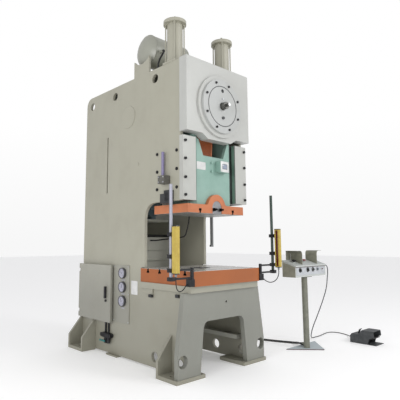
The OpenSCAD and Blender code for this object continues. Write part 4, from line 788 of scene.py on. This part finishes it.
# The drive: a cast flywheel and pulley with belts between them, and the motor with its fan cowl and
# terminal box on the shelf inside the frame. The lock that follows is the cabinet door's.
fitting("cast_iron", shade(70, 72, 74), shade(98, 100, 100), 0.5, 0.6, 120, 0.0008).on(
    "flywheel", "motor_pulley")
motor_paint = fitting("motor_enamel", shade(78, 94, 100), shade(96, 112, 116), 0.4)
motor_paint.on("motor")
fitting("belt_rubber", shade(24, 24, 24), shade(44, 44, 44), 0.7).on("drive_belts")
MOTOR_Z, GRILLE_Y, GRILLE_R, GRILLE_BARS = 1.465, 0.1395, 0.085, 30
turns = [math.tau * k / GRILLE_BARS for k in range(GRILLE_BARS)]
spokes.make("fan_cowl_grille", "frame", motor_paint,
            [(GRILLE_R * math.cos(a), GRILLE_Y, MOTOR_Z + GRILLE_R * math.sin(a)) for a in turns],
            size=(0.004, 0.004, 0.050), centre=(0.0, GRILLE_Y, MOTOR_Z))
piece("fan_cowl_boss", "frame", motor_paint,
      turned((0, 0.140, MOTOR_Z), FRONT, [(0, 0), (0.055, 0), (0.055, 0.004), (0.048, 0.008), (0, 0.008)]))
piece("door_lock", "door", blacked, turned(
    (-0.4445, 0.320, 0.510), LEFT,
    [(0, 0), (0.0113, 0), (0.0113, 0.0128), (0.0100, 0.0138), (0.0040, 0.0138), (0.0040, 0.0122),
     (0, 0.0122)], 28))
screw.make("terminal_box_screws", "frame", bright_zinc,
           [(0.160, y, MOTOR_Z + z) for y in (0.290, 0.380) for z in (-0.040, 0.040)],
           facing=(1.0, 0.0, 0.0))

# Hoses and pipes: black rubber and blacked steel in the throat and down from the tank.
fitting("hose_rubber", shade(24, 24, 25), shade(46, 46, 46), 0.5).on("tank_hose")
pipe_finish = fitting("pipe_finish", shade(28, 28, 29), shade(50, 50, 50), 0.46)
outside = pipe_finish.axis("X") > HALF + 0.0005
pipe_finish.feed("Base Color", pipe_finish.tint(outside, pipe_finish.colour, shade(112, 114, 114)))
pipe_finish.on("throat_pipes")
fitting("valve_teal", shade(50, 128, 126), shade(40, 104, 104), 0.34).on("valve_handle")

# The console: a folded steel box with an overhanging lid on a rubber strip, a pale front panel with its
# switches in bezels, bent hoods over the palm buttons, and a post on a cut base plate.
console_paint = fitting("console_enamel", shade(146, 145, 130), shade(130, 129, 116), 0.38)
CONSOLE_X, CONTROLS, CONTROL_Z = 1.237, (-0.205, -0.065, 0.033, 0.117), 0.795
BOX_FRONT, PANEL_FACE, KNOB_FACE, HOLE_R = -0.925, -0.9268, -0.9448, 0.0151
LID_EDGE, LID_SLOPE = 0.8272, 0.3158
above_lip = (console_paint.axis("Z") - (console_paint.axis("Y") - BOX_FRONT) * LID_SLOPE) > LID_EDGE
lid_colour = console_paint.tint(console_paint.noise(8, 4), shade(192, 196, 192), shade(176, 180, 178))
front_face = console_paint.axis("Y") < BOX_FRONT + 0.0003
console_paint.feed("Base Color", console_paint.tint(above_lip.maths("MAXIMUM", above_lip, front_face),
                                                    console_paint.colour, lid_colour))
console_paint.on("pedestal_box")
panel_white = fitting("panel_white", shade(186, 189, 193), shade(172, 176, 180), 0.32)
seal_brown = fitting("lid_seal", shade(84, 62, 62), shade(66, 50, 50), 0.6)
piece("console_front_panel", "frame", panel_white,
      block((CONSOLE_X - 0.270, PANEL_FACE, 0.742), (CONSOLE_X + 0.270, BOX_FRONT + 0.0001, 0.820)))
piece("console_lid_seal", "frame", seal_brown,
      block((CONSOLE_X - 0.284, BOX_FRONT - 0.0055, 0.8232),
            (CONSOLE_X + 0.284, BOX_FRONT + 0.0001, 0.8282)))
for name, finish, places, rim in (("switch_bezels", blacked, CONTROLS[:3], 0.0235),
                                  ("reset_bezel", bright_zinc, CONTROLS[3:], 0.0192)):
    ring = [(HOLE_R, 0), (rim, 0), (rim, 0.0035), (rim - 0.0014, 0.0052), (HOLE_R, 0.0052), (HOLE_R, 0)]
    piece(name, "frame", finish, *[
        turned((CONSOLE_X + dx, BOX_FRONT, CONTROL_Z), FRONT, ring) for dx in places])
piece("lamp_lens", "frame", lens_red,
      turned((CONSOLE_X + 0.208, -0.933, CONTROL_Z), FRONT,
             [(0, 0), (0.0078, 0), (0.0078, 0.003), (0.0062, 0.0062), (0.0032, 0.0078), (0, 0.0082)], 28))
screw.make("console_panel_screws", "frame", bright_zinc,
           [(CONSOLE_X + dx, PANEL_FACE, z) for dx in (-0.262, 0.262) for z in (0.749, 0.813)],
           radius=0.0028, height=0.0014, facing=FRONT)
for knob, dx in (("mode_knob", CONTROLS[0]), ("power_knob", CONTROLS[1])):
    piece(knob + "_mark", knob, plate_white,
          block((CONSOLE_X + dx - 0.0012, KNOB_FACE - 0.0008, CONTROL_Z + 0.002),
                (CONSOLE_X + dx + 0.0012, KNOB_FACE, CONTROL_Z + 0.012), 0.0002))
lettering("power_words", "frame", mark_black,
          [(word, (CONSOLE_X + CONTROLS[1] + dx, PANEL_FACE - 0.0001, 0.812))
           for word, dx in (("OFF", -0.024), ("ON", 0.024))], 0.008, (1, 0, 0), (0, 0, 1))
hood_low, hood_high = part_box("palm_shrouds")
hood_paint = fitting("hood_steel", shade(140, 140, 124), shade(120, 120, 108), 0.36, 0.1)
hood_paint.on("palm_shrouds")
piece("hood_backs", "frame", hood_paint, *[
    block((low, hood_high[1] - 0.0045, hood_high[2] - 0.094),
          (low + 0.0845, hood_high[1] - 0.0022, hood_high[2] - 0.001))
    for low in (hood_low[0] + 0.0005, hood_high[0] - 0.085)])
post_paint = fitting("post_enamel", shade(122, 123, 110), shade(106, 107, 97), 0.4)
BASE_EDGE, BASE_TOP = 0.0078, 0.0085
high = post_paint.axis("Z")
above_edge = post_paint.tint(high > BASE_TOP, shade(176, 186, 190), post_paint.colour)
post_paint.feed("Base Color", post_paint.tint(high > BASE_EDGE, shade(88, 64, 66), above_edge))
post_paint.on("pedestal_stand")
black_plastic = fitting("black_plastic", shade(22, 24, 24), shade(40, 42, 42), 0.3)
black_plastic.on("palm_button_left", "palm_button_right", "mode_switch", "power_switch", "start_button")
fitting("grey_plastic", shade(96, 106, 112), shade(80, 90, 96), 0.3).on("reset_button")
fitting("red_plastic", shade(150, 34, 30), shade(122, 26, 24), 0.28).on("stop_button")

# The foot switch: a folded steel hood over a ribbed treadle.
fitting("pedal_housing_paint", shade(52, 56, 58), shade(70, 72, 74), 0.42).on("pedal_housing")
tread = fitting("pedal_tread", shade(40, 40, 41), shade(62, 62, 62), 0.55, 0.0, 500, 0.001)
tread.on("foot_pedal")
RIB_PITCH, TREAD_RISE = 0.013, 1 / 6
bars.make("tread_ribs", "treadle", tread,
          [(1.915, -1.142 - RIB_PITCH * k, 0.0523 + RIB_PITCH * k * TREAD_RISE) for k in range(9)],
          size=(0.150, 0.0045, 0.004), facing=(0.0, 0.164, 0.986))

# The studio: a plain pale floor that runs out of sight, and large soft lights, the strongest to the right
# of the viewpoint so that the press's front is lit and its side lies in soft shade.
floor_mesh = bpy.data.meshes.new("studio_floor")
floor_mesh.from_pydata([(-30, -30, 0), (30, -30, 0), (30, 30, 0), (-30, 30, 0)], [], [(0, 1, 2, 3)])
floor = bpy.data.objects.new("studio_floor", floor_mesh)
bpy.context.scene.collection.objects.link(floor)
floor_finish = Finish("studio_floor")
floor_finish.feed("Base Color", (0.85, 0.85, 0.85, 1))
floor_finish.feed("Roughness", 0.7)
floor_finish.feed("Emission Color", (1, 1, 1, 1))
floor_finish.feed("Emission Strength", 0.22)
floor_mesh.materials.append(floor_finish.material)


def lamp(name, place, target, size, power):
    light = bpy.data.lights.new(name, "AREA")
    light.shape, light.size, light.energy = "DISK", size, power
    made = bpy.data.objects.new(name, light)
    made.location = place
    made.rotation_euler = (Vector(target) - Vector(place)).to_track_quat("-Z", "Y").to_euler()
    bpy.context.scene.collection.objects.link(made)


lamp("front_light", (2.6, -6.2, 4.2), (0, -0.6, 1.8), 2.4, 132)
lamp("side_light", (-5.0, -1.9, 2.2), (-0.2, 0, 1.3), 2.6, 84)
lamp("low_fill", (-1.0, -5.4, 1.2), (0, 0, 1.1), 1.6, 26)
room = bpy.data.worlds.new("room")
room.use_nodes = True
air = Tree(room.node_tree)
height = air.add("ShaderNodeSeparateXYZ", None, {0: air.add("ShaderNodeTexCoord", output="Generated")}, "Z")
rise = air.add("ShaderNodeMapRange", None, {0: height, 1: 0.0, 2: 0.25, 3: 0.0, 4: 1.0})
seen = air.add("ShaderNodeMix", {"data_type": "RGBA"},
               {0: rise, 6: (0.93, 0.93, 0.93, 1), 7: (1, 1, 1, 1)}, 2)
direct = air.add("ShaderNodeLightPath", output="Is Camera Ray")
sky = air.add("ShaderNodeMix", {"data_type": "RGBA"}, {0: direct, 6: (0.7, 0.7, 0.71, 1), 7: seen}, 2)
air.put(room.node_tree.nodes["Background"].inputs["Color"], sky)
bpy.context.scene.world = room
bpy.context.scene.view_settings.view_transform = "Standard"

bpy.context.view_layer.update()
